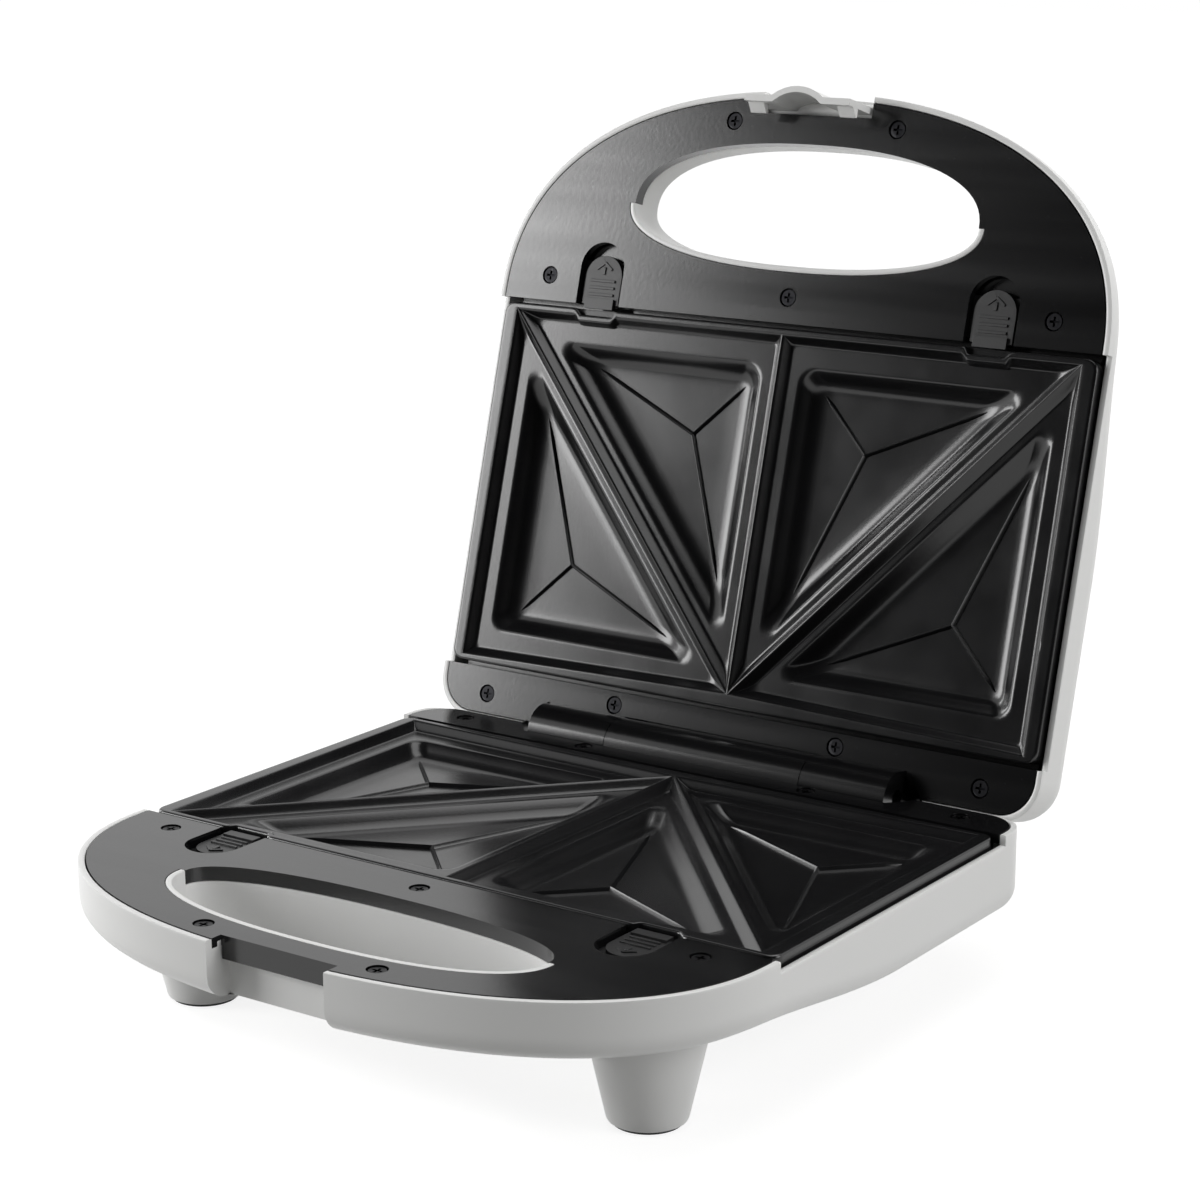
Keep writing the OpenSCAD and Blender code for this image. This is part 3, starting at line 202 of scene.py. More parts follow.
def columns():
    """Places along the casing's outline, once round: the sides by their y, the rear by its x and the
    rounded front by its x, each with pairs of close columns wherever the rim steps."""
    def pairs(values):
        return [v + s*0.03 for v in values for s in (-1, 1)]
    side = np.sort(np.concatenate([np.linspace(-146.6, -13.4, 60), pairs([-opening_back]), [-146.97]]))
    cone_end = trough_end - trough_slope
    rear = np.sort(np.concatenate([np.linspace(-102.5, 102.5, 90), pairs([-trough_end, trough_end]),
                                   [-cone_end, cone_end]]))
    corner = np.radians(np.linspace(0, 90, 15))
    t = np.radians(np.linspace(180, 360, 241))
    nose = (case_w/2)*np.sign(np.cos(t))*np.abs(np.cos(t))**(2/nose_power)
    beside_hole = (case_w/2)*(1 - ((hole_mid - side_end)/nose_len)**nose_power)**(1/nose_power)
    marks = pairs([k*x for k in (-1, 1) for x in (notch_half, notch_half + wall, beside_hole)])
    nose = nose[[not any(abs(v - m) < 0.35 for m in marks) for v in nose]]
    nose = np.sort(np.concatenate([nose, marks]))
    return side, corner, rear[::-1], nose


side_y, corner_t, rear_x, nose_x = columns()


def outline(inset):
    """The casing's outline drawn in by an amount: straight sides and rear, round rear corners, and a
    front on the curve (x/a)^p + (y/b)^p = 1. Columns near the middle keep their x."""
    a, b, r = case_w/2 - inset, nose_len - inset, corner_r - inset
    right_side = np.stack([np.full_like(side_y, a), side_y], 1)
    corner = np.stack([a - r + r*np.cos(corner_t), rear_face - corner_r + r*np.sin(corner_t)], 1)
    rear = np.stack([rear_x, np.full_like(rear_x, rear_face - inset)], 1)
    mirror = np.array([-1.0, 1.0])
    keep = smooth((np.abs(nose_x) - 25)/35)
    x = nose_x*(1 - inset/(case_w/2)*keep)
    y = -side_end - b*np.clip(1 - np.abs(x/a)**nose_power, 0, 1)**(1/nose_power)
    return np.concatenate([right_side, corner, rear, corner[::-1]*mirror, right_side[::-1]*mirror,
                           np.stack([x, y], 1)])


def hole_line(angle, grow):
    """The handle hole's edge at given angles about its middle, let out by an amount: the point where
    the ray meets the curve (x/a)^p + (y/b)^p = 1, whose b differs in front and behind."""
    a = hole_half + grow
    b = np.where(np.sin(angle) > 0, hole_rear, hole_front) + grow
    reach = ((np.abs(np.cos(angle))/a)**nose_power + (np.abs(np.sin(angle))/b)**nose_power)**(-1/nose_power)
    return np.stack([reach*np.cos(angle), reach*np.sin(angle) - hole_mid], 1)


def depth_of(y, rear_d, front_d):
    """Depth of a casing's back: the rear depth, easing to the front depth between two lines."""
    return front_d + (rear_d - front_d)*smooth((ease_front + y)/ease_run)


def casing(rear_d, front_d, edge_r, crown, axis_z, white_side, is_base):
    """The casing's skin as one closed grid, rows by columns. The rows run over the inner floor, up the
    inner wall, over the lip, down the outer wall, round the edge, across the back to the handle hole,
    round its edge, up the hole's wall, over the wall's rim and back down to the inner floor. The lower
    casing's hole ends below in a short collar, and its rear rim lies lower than the bezel."""
    edge = outline(0)
    x0, y0 = edge.T
    angle = np.arctan2(y0 + hole_mid, x0)
    in_notch = (np.abs(x0) < notch_half) & (y0 < -notch_front)
    by_notch = (np.abs(x0) < notch_half + wall) & (y0 < -notch_front)
    panel = base_panel if is_base else lid_panel
    rim = face_z + (rear_dip*smooth((y0 + 6)/7) if is_base else 0*y0)
    rim[(np.abs(x0) > case_w/2 - 1) & (y0 > -side_end + 0.01) & (y0 < -opening_back)] = opening_z
    cone = np.clip((trough_end - np.abs(x0))/trough_slope, 0, 1)
    trough = trough_tip_r + (trough_r - trough_tip_r)*cone
    at_rear = (y0 > rear_face - 0.01) & (np.abs(x0) < trough_end)
    rim = np.where(at_rear, axis_z + np.sqrt(trough**2 - rear_face**2), rim)
    if is_base:
        rim[in_notch] = seat_z
    middle = np.array([0, back_mid])
    flat = outline(edge_r)
    way = flat - middle
    order = np.argsort(np.arctan2(way[:, 1], way[:, 0]))
    way_angle, way_reach = np.arctan2(way[:, 1], way[:, 0])[order], np.linalg.norm(way, axis=1)[order]

    def back_z(p):
        """Height of the back over a point, with the crown that falls to nothing at the flat's edge."""
        off = p - middle
        share = np.linalg.norm(off, axis=1)/np.interp(np.arctan2(off[:, 1], off[:, 0]), way_angle,
                                                      way_reach, period=2*np.pi)
        return depth_of(p[:, 1], rear_d, front_d) + crown*np.clip(1 - share**2, 0, 1)

    def row(p, z):
        return np.column_stack([p, np.broadcast_to(z, len(p))])

    def inner(p):
        """Inner wall points, moved back behind the latch recess."""
        return np.column_stack([p[:, 0], np.where(by_notch, np.maximum(p[:, 1], wall - panel), p[:, 1])])

    def outer(p):
        """Outer wall points, moved back to the recessed panel."""
        return np.column_stack([p[:, 0], np.where(in_notch, np.maximum(p[:, 1], -panel), p[:, 1])])

    rows = []
    hole_out = hole_line(angle, wall)
    start = inner(outline(edge_r))
    for u in np.linspace(0, 1, 5):
        p = hole_out + (start - hole_out)*u
        rows.append(row(p, depth_of(p[:, 1], rear_d, front_d) - wall))
    r_in = edge_r - wall
    for t in np.radians([60, 30, 0]):
        p = outline(wall + r_in*(1 - math.cos(t)))
        z = depth_of(p[:, 1], rear_d, front_d) - wall - r_in*(1 - math.sin(t))
        rows.append(row(inner(p), np.maximum(z, seat_z + 0.1 + 0.3*math.sin(t))))
    lip = outline(wall)
    inner_end, rim_end = np.maximum(z, seat_z + 0.1), np.maximum(rim, seat_z)
    for u in (0.4, 0.8, 1):
        rows.append(row(inner(lip), inner_end + (rim_end - inner_end)*u))
    rows.append(row(np.where(in_notch[:, None], inner(lip), lip), rim_end))
    lip_shape = [(wall, lip_round), (wall - 0.1, 0.12), (wall - 0.35, 0), (0.35, 0), (0.1, 0.12),
                 (0, lip_round)]
    for inset, lift in lip_shape:
        p = outline(inset)
        p[in_notch, 1] = inset - panel
        rows.append(row(p, np.where(in_notch, seat_z, rim) + lift))
    arc_from = np.zeros(len(x0))
    if not is_base:
        arc_from[in_notch] = math.asin((pocket_z - front_d + edge_r)/edge_r)
    wall_from = rim + lip_round
    wall_to = np.maximum(depth_of(y0, rear_d, front_d) - edge_r, wall_from)
    for u in (0.08, 0.3, 0.6, 0.92):
        p, z = outer(edge), wall_from + (wall_to - wall_from)*u
        if not is_base:
            tip = y0[in_notch] + edge_r*(1 - np.cos(arc_from[in_notch]))
            p[in_notch, 1] = -panel + (tip + panel)*min(max((u - 0.3)/0.62, 0), 1)
            z[in_notch] = seat_z + lip_round + (pocket_z - seat_z - lip_round)*min(u/0.3, 1)
        rows.append(row(p, z))
    for k in np.linspace(0, 1, 11):
        t = arc_from + (math.pi/2 - arc_from)*k
        p = edge.copy()
        inset = edge_r*(1 - np.cos(t))
        for level in np.unique(np.round(inset, 9)):
            same = np.abs(inset - level) < 1e-8
            p[same] = outline(level)[same]
        z = depth_of(p[:, 1], rear_d, front_d) - edge_r + edge_r*np.sin(t)
        z = np.maximum(z, rim + 0.5 + 0.3*k)
        rows.append(row(outer(p) if is_base else p, z))
    start = outer(flat) if is_base else flat
    round_r = 0.8 if is_base else 1.4
    collar = 2.2 if is_base else 0
    end = hole_line(angle, 2.8 if is_base else round_r)
    for u in np.linspace(0, 1, 40)[1:]:
        p = start + (end - start)*u
        rows.append(row(p, back_z(p)))
    if is_base:
        for grow, drop in ((2.5, 0.1), (2.3, 0.4), (2.2, 1.5), (2.1, 1.9), (1.8, 2.15), (1.4, 2.2)):
            p = hole_line(angle, grow)
            rows.append(row(p, back_z(p) + drop))
    for t in np.radians([0, 20, 40, 60, 80, 90] if is_base else [20, 40, 60, 80, 90]):
        p = hole_line(angle, round_r*(1 - math.sin(t)))
        rows.append(row(p, back_z(p) + collar - round_r*(1 - math.cos(t))))
    end_z = np.where(np.sin(angle)*white_side < 0, face_z, skirt_z)
    hole_edge = hole_line(angle, 0)
    low = back_z(hole_edge) + collar - round_r
    for u in (0.2, 0.5, 0.8):
        rows.append(row(hole_edge, low + (end_z + lip_round - low)*u))
    for inset, lift in lip_shape[::-1]:
        rows.append(row(hole_line(angle, inset), end_z + lift))
    for u in (0.1, 0.5):
        rows.append(row(hole_out, end_z + lip_round + (low - collar - end_z)*u))
    return np.array(rows)


def in_base(points):
    """Half's own frame to the row's, for the lower half: face up, mirrored in depth, in metres."""
    x, y, z = np.moveaxis(np.asarray(points, float), -1, 0)
    return np.stack([x, y + hinge_y, stand_h - z], -1)/1000


def in_lid(points):
    """Half's own frame to the row's, for the open lid: turned about the hinge axis, in metres."""
    x, y, z = np.moveaxis(np.asarray(points, float), -1, 0)
    c, s = math.cos(open_turn), math.sin(open_turn)
    lifted = z + hinge_drop
    return np.stack([x, y*c + lifted*s + hinge_y, -y*s + lifted*c + stand_h - hinge_drop], -1)/1000


def grid_faces(rows, cols, closed_rows, closed_cols):
    """Four-cornered faces between neighbouring rows and columns of a grid, either way round or not."""
    r = np.arange(rows if closed_rows else rows - 1)
    c = np.arange(cols if closed_cols else cols - 1)
    r, c = np.meshgrid(r, c, indexing="ij")
    r2, c2 = (r + 1) % rows, (c + 1) % cols
    return np.stack([r*cols + c, r*cols + c2, r2*cols + c2, r2*cols + c], -1).reshape(-1, 4)


def make_piece(name, patches, materials, sharp=40):
    """One mesh piece from patches of (points, faces). Doubles are merged, sides that face inwards are
    turned by each patch's signed volume, and edges sharper than an angle stay sharp."""
    points, faces, first = [], [], 0
    for p, f in patches:
        p = np.asarray(p, float).reshape(-1, 3)
        a, b, c, d = (p[f[:, k]] for k in range(4))
        volume = (np.einsum("ij,ij->i", a, np.cross(b, c)) + np.einsum("ij,ij->i", a, np.cross(c, d))).sum()
        points.append(p)
        faces.append((f if volume > 0 else f[:, ::-1]) + first)
        first += len(p)
    mesh = bpy.data.meshes.new(name)
    mesh.from_pydata(np.concatenate(points).tolist(), [], np.concatenate(faces).tolist())
    made = bpy.data.objects.new(name, mesh)
    bpy.context.scene.collection.objects.link(made)
    for material in materials:
        mesh.materials.append(material)
    weld = made.modifiers.new("weld", "WELD")
    weld.merge_threshold = 1e-6
    smooth_edges(made, sharp)
    return made


def smooth_edges(made, sharp):
    """Shades a piece smooth but for the edges that turn by more than an angle in degrees."""
    group = bpy.data.node_groups.get(f"smooth_{sharp}")
    if group is None:
        group = bpy.data.node_groups.new(f"smooth_{sharp}", "GeometryNodeTree")
        group.interface.new_socket("Mesh", in_out="INPUT", socket_type="NodeSocketGeometry")
        group.interface.new_socket("Mesh", in_out="OUTPUT", socket_type="NodeSocketGeometry")
        start = group.nodes.new("NodeGroupInput")
        end = group.nodes.new("NodeGroupOutput")
        faces = add(group, "GeometryNodeSetShadeSmooth", {"Geometry": start.outputs[0],
                    "Shade Smooth": True}, domain="FACE")
        angle = add(group, "GeometryNodeInputMeshEdgeAngle")
        turned = add(group, "FunctionNodeCompare", {0: angle.outputs[0], 1: math.radians(sharp)},
                     operation="GREATER_THAN")
        edges = add(group, "GeometryNodeSetShadeSmooth", {"Geometry": faces.outputs[0],
                    "Selection": turned.outputs[0], "Shade Smooth": False}, domain="EDGE")
        group.links.new(edges.outputs[0], end.inputs[0])
    made.modifiers.new("smooth", "NODES").node_group = group


def noise(tree, where, scale, detail):
    """Cloudy noise from 0 to 1 over a socket's coordinates."""
    made = add(tree, "ShaderNodeTexNoise", {"Vector": where, "Scale": scale, "Detail": detail})
    return made.outputs["Fac"]


def two_tone(tree, factor, low, high):
    """A colour that runs between two sRGB codes with a factor from 0 to 1."""
    tint = add(tree, "ShaderNodeMix", {"Factor": factor}, data_type="RGBA")
    tint.inputs[6].default_value, tint.inputs[7].default_value = linear(low), linear(high)
    return tint.outputs[2]


def coat(tree, out, inputs):
    """Puts a principled shader with these inputs on a material's output."""
    tree.links.new(add(tree, "ShaderNodeBsdfPrincipled", inputs).outputs[0], out.inputs["Surface"])


# White ABS, injection moulded with a satin polish: a soft sheen, the faint orange peel of a
# spark-finished mould and barely warmer and cooler patches where the resin flowed.
white_abs, tree, out = empty_material("white_moulded_abs")
where = add(tree, "ShaderNodeTexCoord").outputs["Object"]
patches = noise(tree, where, 14.0, 3.0)
tint = two_tone(tree, patches, "eeeeec", "f3f3f2")
peel = noise(tree, where, 900.0, 2.0)
shine = add(tree, "ShaderNodeMapRange", {"Value": patches, "To Min": 0.3, "To Max": 0.38})
relief = add(tree, "ShaderNodeBump", {"Height": peel, "Strength": 0.05, "Distance": 0.0002})
coat(tree, out, {"Base Color": tint, "Roughness": shine.outputs[0],
                "IOR": 1.53, "Normal": relief.outputs[0]})

base_rear_d, base_front_d = 27.0, 18.5
foot_r, foot_end, flare = 11.5, 49.4, 3.5


def foot(x, y, top_r):
    """A foot turned about its own line: a flare that meets the casing's underside, a taper, a rounded
    end and the recess for its pad. On the sloping underside each point's radius and depth depend on
    each other, and four rounds settle them."""
    turns = np.linspace(0, 2*np.pi, 65)[:-1]
    taper = (top_r - foot_r)/(foot_end - base_front_d)
    bend = np.radians(np.linspace(0, 90, 9))

    def ring(r, z):
        return np.stack([x + r*np.cos(turns), y + r*np.sin(turns), np.broadcast_to(z, len(turns))], 1)

    made = []
    for extra, height in [(flare + 0.3, -1.2), *zip(flare*(1 - np.sin(bend)), flare*(1 - np.cos(bend)))]:
        r = np.full_like(turns, top_r)
        for _ in range(4):
            z = depth_of(y + r*np.sin(turns), base_rear_d, base_front_d) + height
            r = foot_r + taper*(foot_end - z) + extra
        made.append(ring(r, z))
    low = made[-1][:, 2]
    for share in np.linspace(0.1, 1, 10):
        level = low + (foot_end - 1 - low)*share
        made.append(ring(foot_r + taper*(foot_end - level), level))
    for r, rise in [(foot_r, 0.5), (foot_r - 0.15, 0.15), (foot_r - 0.45, 0), (foot_r - 1, 0),
                    (foot_r - 1.2, 0.2), (foot_r - 1.2, 1.4), (0.01, 1.4)]:
        made.append(ring(r, foot_end - rise))
    top = made[0].copy()
    top[:, :2] = [x, y] + (top[:, :2] - [x, y])*0.001
    return np.array([top] + made)


def with_gland_hole(grid, x, z, radius):
    """A casing's points and faces with a round hole through its rear wall. The grid's cells round it,
    outside and inside, give way to one strip: from their edge to the hole, through and out again."""
    points = grid.reshape(-1, 3)
    faces = grid_faces(*grid.shape[:2], True, True)
    middle = points[faces].mean(1)
    beside = np.abs(middle[:, 0] - x) < radius + 0.7
    outside = beside & (middle[:, 1] > rear_face - 0.03) & (np.abs(middle[:, 2] - z) < radius + 0.9)
    inside = beside & (np.abs(middle[:, 1] - rear_face + wall) < 0.03) & (np.abs(middle[:, 2] - 10.5) < 6.5)
    kept = faces[~(outside | inside)]
    strip_rows = []
    for cut, y in ((outside, rear_face), (inside, rear_face - wall)):
        edge = points[np.intersect1d(faces[cut], kept)]
        edge = edge[np.argsort(np.arctan2(edge[:, 2] - z, edge[:, 0] - x))]
        turn_at = np.arctan2(edge[:, 2] - z, edge[:, 0] - x)
        ring = np.column_stack([x + radius*np.cos(turn_at), np.full_like(turn_at, y),
                                z + radius*np.sin(turn_at)])
        strip_rows += [edge, ring] if y > 0 else [ring, edge]
    added = np.array(strip_rows)
    more = grid_faces(*added.shape[:2], False, True)
    p = points[faces[outside][0]]
    q = added.reshape(-1, 3)[more[0]]
    if np.cross(p[1] - p[0], p[2] - p[0])[1]*np.cross(q[1] - q[0], q[2] - q[0])[1] < 0:
        more = more[:, ::-1]
    return np.concatenate([points, added.reshape(-1, 3)]), np.concatenate([kept, more + len(points)])


def stop_rib(x):
    """A rib on the rear wall that the open lid rests on: its side view drawn out over its width, with
    both ends drawn in a little so that its edges are soft."""
    side_view = np.array([(0.0, 3.4), (1, 3.42), (4.5, 4.39), (7.6, 5.25), (8, 5.6), (7.6, 6.0), (4.5, 8.9),
                          (1, 12.36), (0, 12.5), (0, 8.0)])
    low_mid = side_view.mean(0)
    ends = [(-3, 0.001), (-3, 0.9), (-2.85, 0.97), (-2.6, 1), (2.6, 1), (2.85, 0.97), (3, 0.9), (3, 0.001)]
    return np.array([np.column_stack([np.full(len(side_view), x + dx), low_mid + (side_view - low_mid)*k])
                     for dx, k in ends])


base_grid = casing(base_rear_d, base_front_d, edge_r=8.0, crown=0.0, axis_z=hinge_drop, white_side=1,
                   is_base=True)
shell_points, shell_faces = with_gland_hole(base_grid, x=82.7, z=12.6, radius=5.1)
patches_of_base = [(in_base(shell_points), shell_faces)]
ribs = [stop_rib(x) for x in (-92.4, 92.4)]
feet = [foot(side*x, y, top_r) for x, y, top_r in ((82, -159, 18.5), (62, -22, 16.5)) for side in (1, -1)]
for grid in ribs + feet:
    patches_of_base.append((in_base(grid), grid_faces(*grid.shape[:2], False, True)))
base_moulding = make_piece("base_moulding", patches_of_base, [white_abs])
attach(base_moulding, "base")
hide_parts("base_shell", "base_floor", "base_feet")

# Upper casing: the same white moulding, rolled over further, with a slight crown on its back.
lid_grid = casing(rear_d=24.0, front_d=15.0, edge_r=12.0, crown=1.5, axis_z=-hinge_drop, white_side=-1,
                  is_base=False)
lid_moulding = make_piece("lid_moulding", [(in_lid(lid_grid), grid_faces(*lid_grid.shape[:2], True, True))],
                          [white_abs])
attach(lid_moulding, "lid")
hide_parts("lid_shell")

# Detachable plates: cast aluminium under a black non-stick coat. Three ribs split each plate into
# four triangles, and each triangle falls over a land into a soft bowl with thin ridges.
plate_half, plate_back, plate_front = 114.2, 18.4, 145.4
rim_side, rim_front_x, front_line, rear_line, cross_y = 109.7, 108.9, 143.4, 20.4, -22.9
plate_top, land_z, bowl_deep, cast_t, rib_foot = 0.25, 3.25, 5.0, 2.2, 6.2
pocket_mid, pocket_side, pocket_front, pocket_rear = 8.0, 100.7, -132.9, -30.9
tongue_x, tongue_clear = 75.5, 8.4
side_count, round_count = 90, 11


def rounded_triangle(corners, rounds):
    """A triangle's outline with round corners: an arc at each corner, then evenly spaced points along
    the side to the next one. Rings made with the same counts match point by point."""
    corners = np.asarray(corners, float)
    line = []
    ends = []
    for i in range(3):
        before, at, after = corners[i - 1], corners[i], corners[(i + 1) % 3]
        u = (before - at)/np.linalg.norm(before - at)
        v = (after - at)/np.linalg.norm(after - at)
        half = math.acos(np.clip(u @ v, -1, 1))/2
        r = max(rounds[i], 1e-6)
        centre = at + (u + v)/np.linalg.norm(u + v)*r/math.sin(half)
        p, q = at + u*r/math.tan(half), at + v*r/math.tan(half)
        a0, a1 = (math.atan2(*(e - centre)[::-1]) for e in (p, q))
        turn = (a1 - a0 + math.pi) % (2*math.pi) - math.pi
        a = a0 + turn*np.linspace(0, 1, round_count)
        line.append(centre + r*np.stack([np.cos(a), np.sin(a)], 1))
        ends.append((p, q))
    whole = []
    for i in range(3):
        whole.append(line[i])
        start, stop = ends[i][1], ends[(i + 1) % 3][0]
        whole.append(start + (stop - start)*np.linspace(0, 1, side_count + 1)[1:-1, None])
    return np.concatenate(whole)


def inset_triangle(corners, offset):
    """A triangle with each side moved in by its own offset: the corners where the moved lines meet."""
    corners = np.asarray(corners, float)
    turned = np.cross(corners[1] - corners[0], corners[2] - corners[0]) > 0
    lines = []
    for i in range(3):
        a, b = corners[i], corners[(i + 1) % 3]
        way = (b - a)/np.linalg.norm(b - a)
        inward = np.array([-way[1], way[0]])*(1 if turned else -1)
        lines.append((a + inward*offset[i], way))
    found = []
    for i in range(3):
        (p, u), (q, v) = lines[i - 1], lines[i]
        s = np.linalg.solve(np.stack([u, -v], 1), q - p)[0]
        found.append(p + u*s)
    return np.array(found)


def inner_circle(corners):
    """Middle and radius of the circle inside a triangle: the mean of the corners, each weighted by the
    side that faces it, and the area over half the girth."""
    corners = np.asarray(corners, float)
    sides = np.array([np.linalg.norm(corners[(i + 1) % 3] - corners[(i + 2) % 3]) for i in range(3)])
    s = sides.sum()/2
    return (sides[:, None]*corners).sum(0)/sides.sum(), math.sqrt(s*np.prod(s - sides))/s


def shrunk(corners, rounds, inset):
    """A pocket's outline drawn in towards the middle of its triangle by an inset, and that middle."""
    middle, radius = inner_circle(corners)
    return middle + (1 - inset/radius)*(rounded_triangle(corners, rounds) - middle), middle


def cell(corners, pocket, rounds, lift):
    """One triangle of a plate as rings from the rib crests to the bowl's middle, lift below the top."""
    rings = []
    crest = [(0, 0.04, 0.02), (0.25, 0.12, 0.05), (0.55, 0.36, 0.1), (0.9, 0.78, 0.2), (1.5, 1.5, 0.4),
             (2.1, 2.2, 0.7), (2.55, 2.68, 1.0), (2.9, 2.92, 1.3), (3.3, 3.0, 1.5), (3.7, 3.0, 1.7)]
    for offset, fall, r in crest:
        ring = rounded_triangle(inset_triangle(corners, [offset]*3), [r]*3)
        rings.append(np.column_stack([ring, np.full(len(ring), plate_top + fall)]))
    slope = [(-1.4, 0.0), (-1.0, 0.0), (-0.55, 0.012), (-0.15, 0.035), (0.25, 0.075), (0.8, 0.17),
             (1.5, 0.3), (2.3, 0.47), (3.1, 0.635), (4.0, 0.775), (5.0, 0.875), (6.2, 0.94), (7.6, 0.97),
             (9.4, 0.985)]
    for inset, share in slope:
        ring, middle = shrunk(pocket, rounds, inset)
        rings.append(np.column_stack([ring, np.full(len(ring), land_z + bowl_deep*share)]))
    last = rings[-1]
    centre = np.array([middle[0], middle[1], land_z + bowl_deep])
    for share in (0.66, 0.33, 0.0005):
        ring = centre + (last - centre)*share
        ring[:, 2] = centre[2] - (centre[2] - last[0, 2])*share**2
        rings.append(ring)
    rings = np.array(rings)
    rings[:, :, 2] += lift
    return rings


def strip(start, stop, width, height, foot_z, steps=24):
    """A thin ridge along a line: a round-topped section that runs out to nothing at its far end."""
    way = (stop - start)/np.linalg.norm(stop - start)
    across = np.array([-way[1], way[0]])
    u = np.linspace(0, 1, steps)
    fade = np.minimum(1, (1 - u)*5)**0.5
    shape = np.array([(-1, 0.5), (-0.75, 0.1), (-0.4, -0.62), (0, -1), (0.4, -0.62), (0.75, 0.1), (1, 0.5)])
    along = start + (stop - start)*u[:, None]
    flat = along[:, None] + across*(shape[:, 0]*width)[None, :, None]*fade[:, None, None]
    z = foot_z + shape[:, 1][None]*height*fade[:, None]
    return np.concatenate([flat, z[..., None]], -1)


def tongue_jog(points):
    """Draws the front rim in by 2.2 round each release button's tongue, fading out over the land."""
    x, y = np.abs(points[..., 0]), points[..., 1]
    inside = smooth((tongue_clear - np.abs(x - tongue_x))/1.6)
    near = smooth((y + 132)/-13.4)
    high = np.where(points[..., 2] < 2.8, 1, 0)
    moved = points.copy()
    moved[..., 1] += 2.2*inside*near*high
    return moved


def plate(place, name, body):
    """A whole plate: four cells, a rim round them, their undersides, and the ridges in the bowls."""
    patches = []
    a, b = np.array([0.0, cross_y]), np.array([rim_front_x, -front_line])
    front_cell = [np.array([0.0, -front_line]), b, a]
    rear_cell = [np.array([rim_side, -rear_line]), a, b]
    along = (b - a)/np.linalg.norm(b - a)
    off = np.array([-along[1], along[0]])*rib_foot
    near, far = a - off, a + off

    def on_y(p, y):
        return np.array([p[0] + along[0]/along[1]*(y - p[1]), y])

    def on_x(p, x):
        return np.array([x, p[1] + along[1]/along[0]*(x - p[0])])
    front_pocket = [np.array([pocket_mid, pocket_front]), on_y(near, pocket_front), on_x(near, pocket_mid)]
    rear_pocket = [np.array([pocket_side, pocket_rear]), on_y(far, pocket_rear), on_x(far, pocket_side)]
    for side in (1, -1):
        for corners, pocket, rounds in ((front_cell, front_pocket, (6, 3.2, 3.2)),
                                        (rear_cell, rear_pocket, (5, 3.2, 3.2))):
            above, below = (tongue_jog(cell(corners, pocket, rounds, lift)*[side, 1, 1])
                            for lift in (0, cast_t))
            rows = np.concatenate([above, below[[26, 23, 20, 18, 15, 11, 9, 4, 0]]])
            patches.append((place(rows), grid_faces(*rows.shape[:2], False, True)))
            middle, pocket_r = inner_circle(pocket)
            flip = np.array([side, 1.0])
            for p in pocket:
                reach = np.linalg.norm(p - middle)
                stop = middle + (p - middle)*(1 - 3/reach - 4.95/pocket_r)
                line = strip(middle*flip, stop*flip, 1.1, 1.15, land_z + bowl_deep)
                patches.append((place(line), grid_faces(*line.shape[:2], False, False)))
    steps = np.linspace(0, 1, side_count + 1)[:, None]
    rear_corner, front_corner = rear_cell[0], b
    rear_run = a + (rear_corner - a)*steps
    side_run = rear_corner + (front_corner - rear_corner)*steps
    front_run = front_corner + (front_cell[0] - front_corner)*steps
    hold = np.ones((round_count, 1))
    half = np.concatenate([rear_run[:-1], hold*rear_corner, side_run[1:-1], hold*front_corner,
                           front_run[1:]])

    def edge_line(inset, r):
        """Right half of the plate's edge drawn in by an inset, with corners of radius r."""
        w, back_y, front_y = plate_half - inset, -plate_back - inset, inset - plate_front
        t = np.linspace(0, 1, round_count)*np.pi/2
        rear_arc = np.stack([w - r + r*np.sin(t), back_y - r + r*np.cos(t)], 1)
        front_arc = np.stack([w - r + r*np.cos(t), front_y + r - r*np.sin(t)], 1)
        rear = np.stack([rear_run[:-1, 0]/rim_side*(w - r), np.full(side_count, back_y)], 1)
        side = rear_arc[-1] + (front_arc[0] - rear_arc[-1])*steps[1:-1]
        front = np.stack([front_run[1:, 0]/rim_front_x*(w - r), np.full(side_count, front_y)], 1)
        return np.concatenate([rear, rear_arc, side, front_arc, front])
    rows = [np.column_stack([half, np.full(len(half), plate_top + 0.04)])]
    toward = edge_line(0.9, 3.2)
    for share in (0.12, 0.3, 0.86):
        rows.append(np.column_stack([half + (toward - half)*share, np.full(len(half), plate_top)]))
    for inset, r, z in [(0.9, 3.2, 0.0), (0.45, 3.6, 0.08), (0.15, 3.9, 0.3), (0, 4, 0.7), (0, 4, 2.4),
                        (0, 4, 2.6), (0, 4, 3.4), (0, 4, 6.0), (0.12, 3.9, 6.2), (0.3, 3.7, 6.3),
                        (1.9, 2.2, 6.3), (2.2, 2.0, 6.0), (2.3, 2.0, 3.2)]:
        line = edge_line(inset, r)
        rows.append(np.column_stack([line, np.full(len(line), plate_top + z)]))
    rows.append(np.column_stack([half, np.full(len(half), plate_top + 0.04 + cast_t)]))
    rows = tongue_jog(np.array(rows))
    whole = np.concatenate([rows, (rows*[-1, 1, 1])[:, ::-1][:, 1:-1]], 1)
    patches.append((place(whole), grid_faces(*whole.shape[:2], False, True)))
    made = make_piece(name, patches, [non_stick], sharp=60)
    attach(made, body)
    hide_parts(body)
    return made


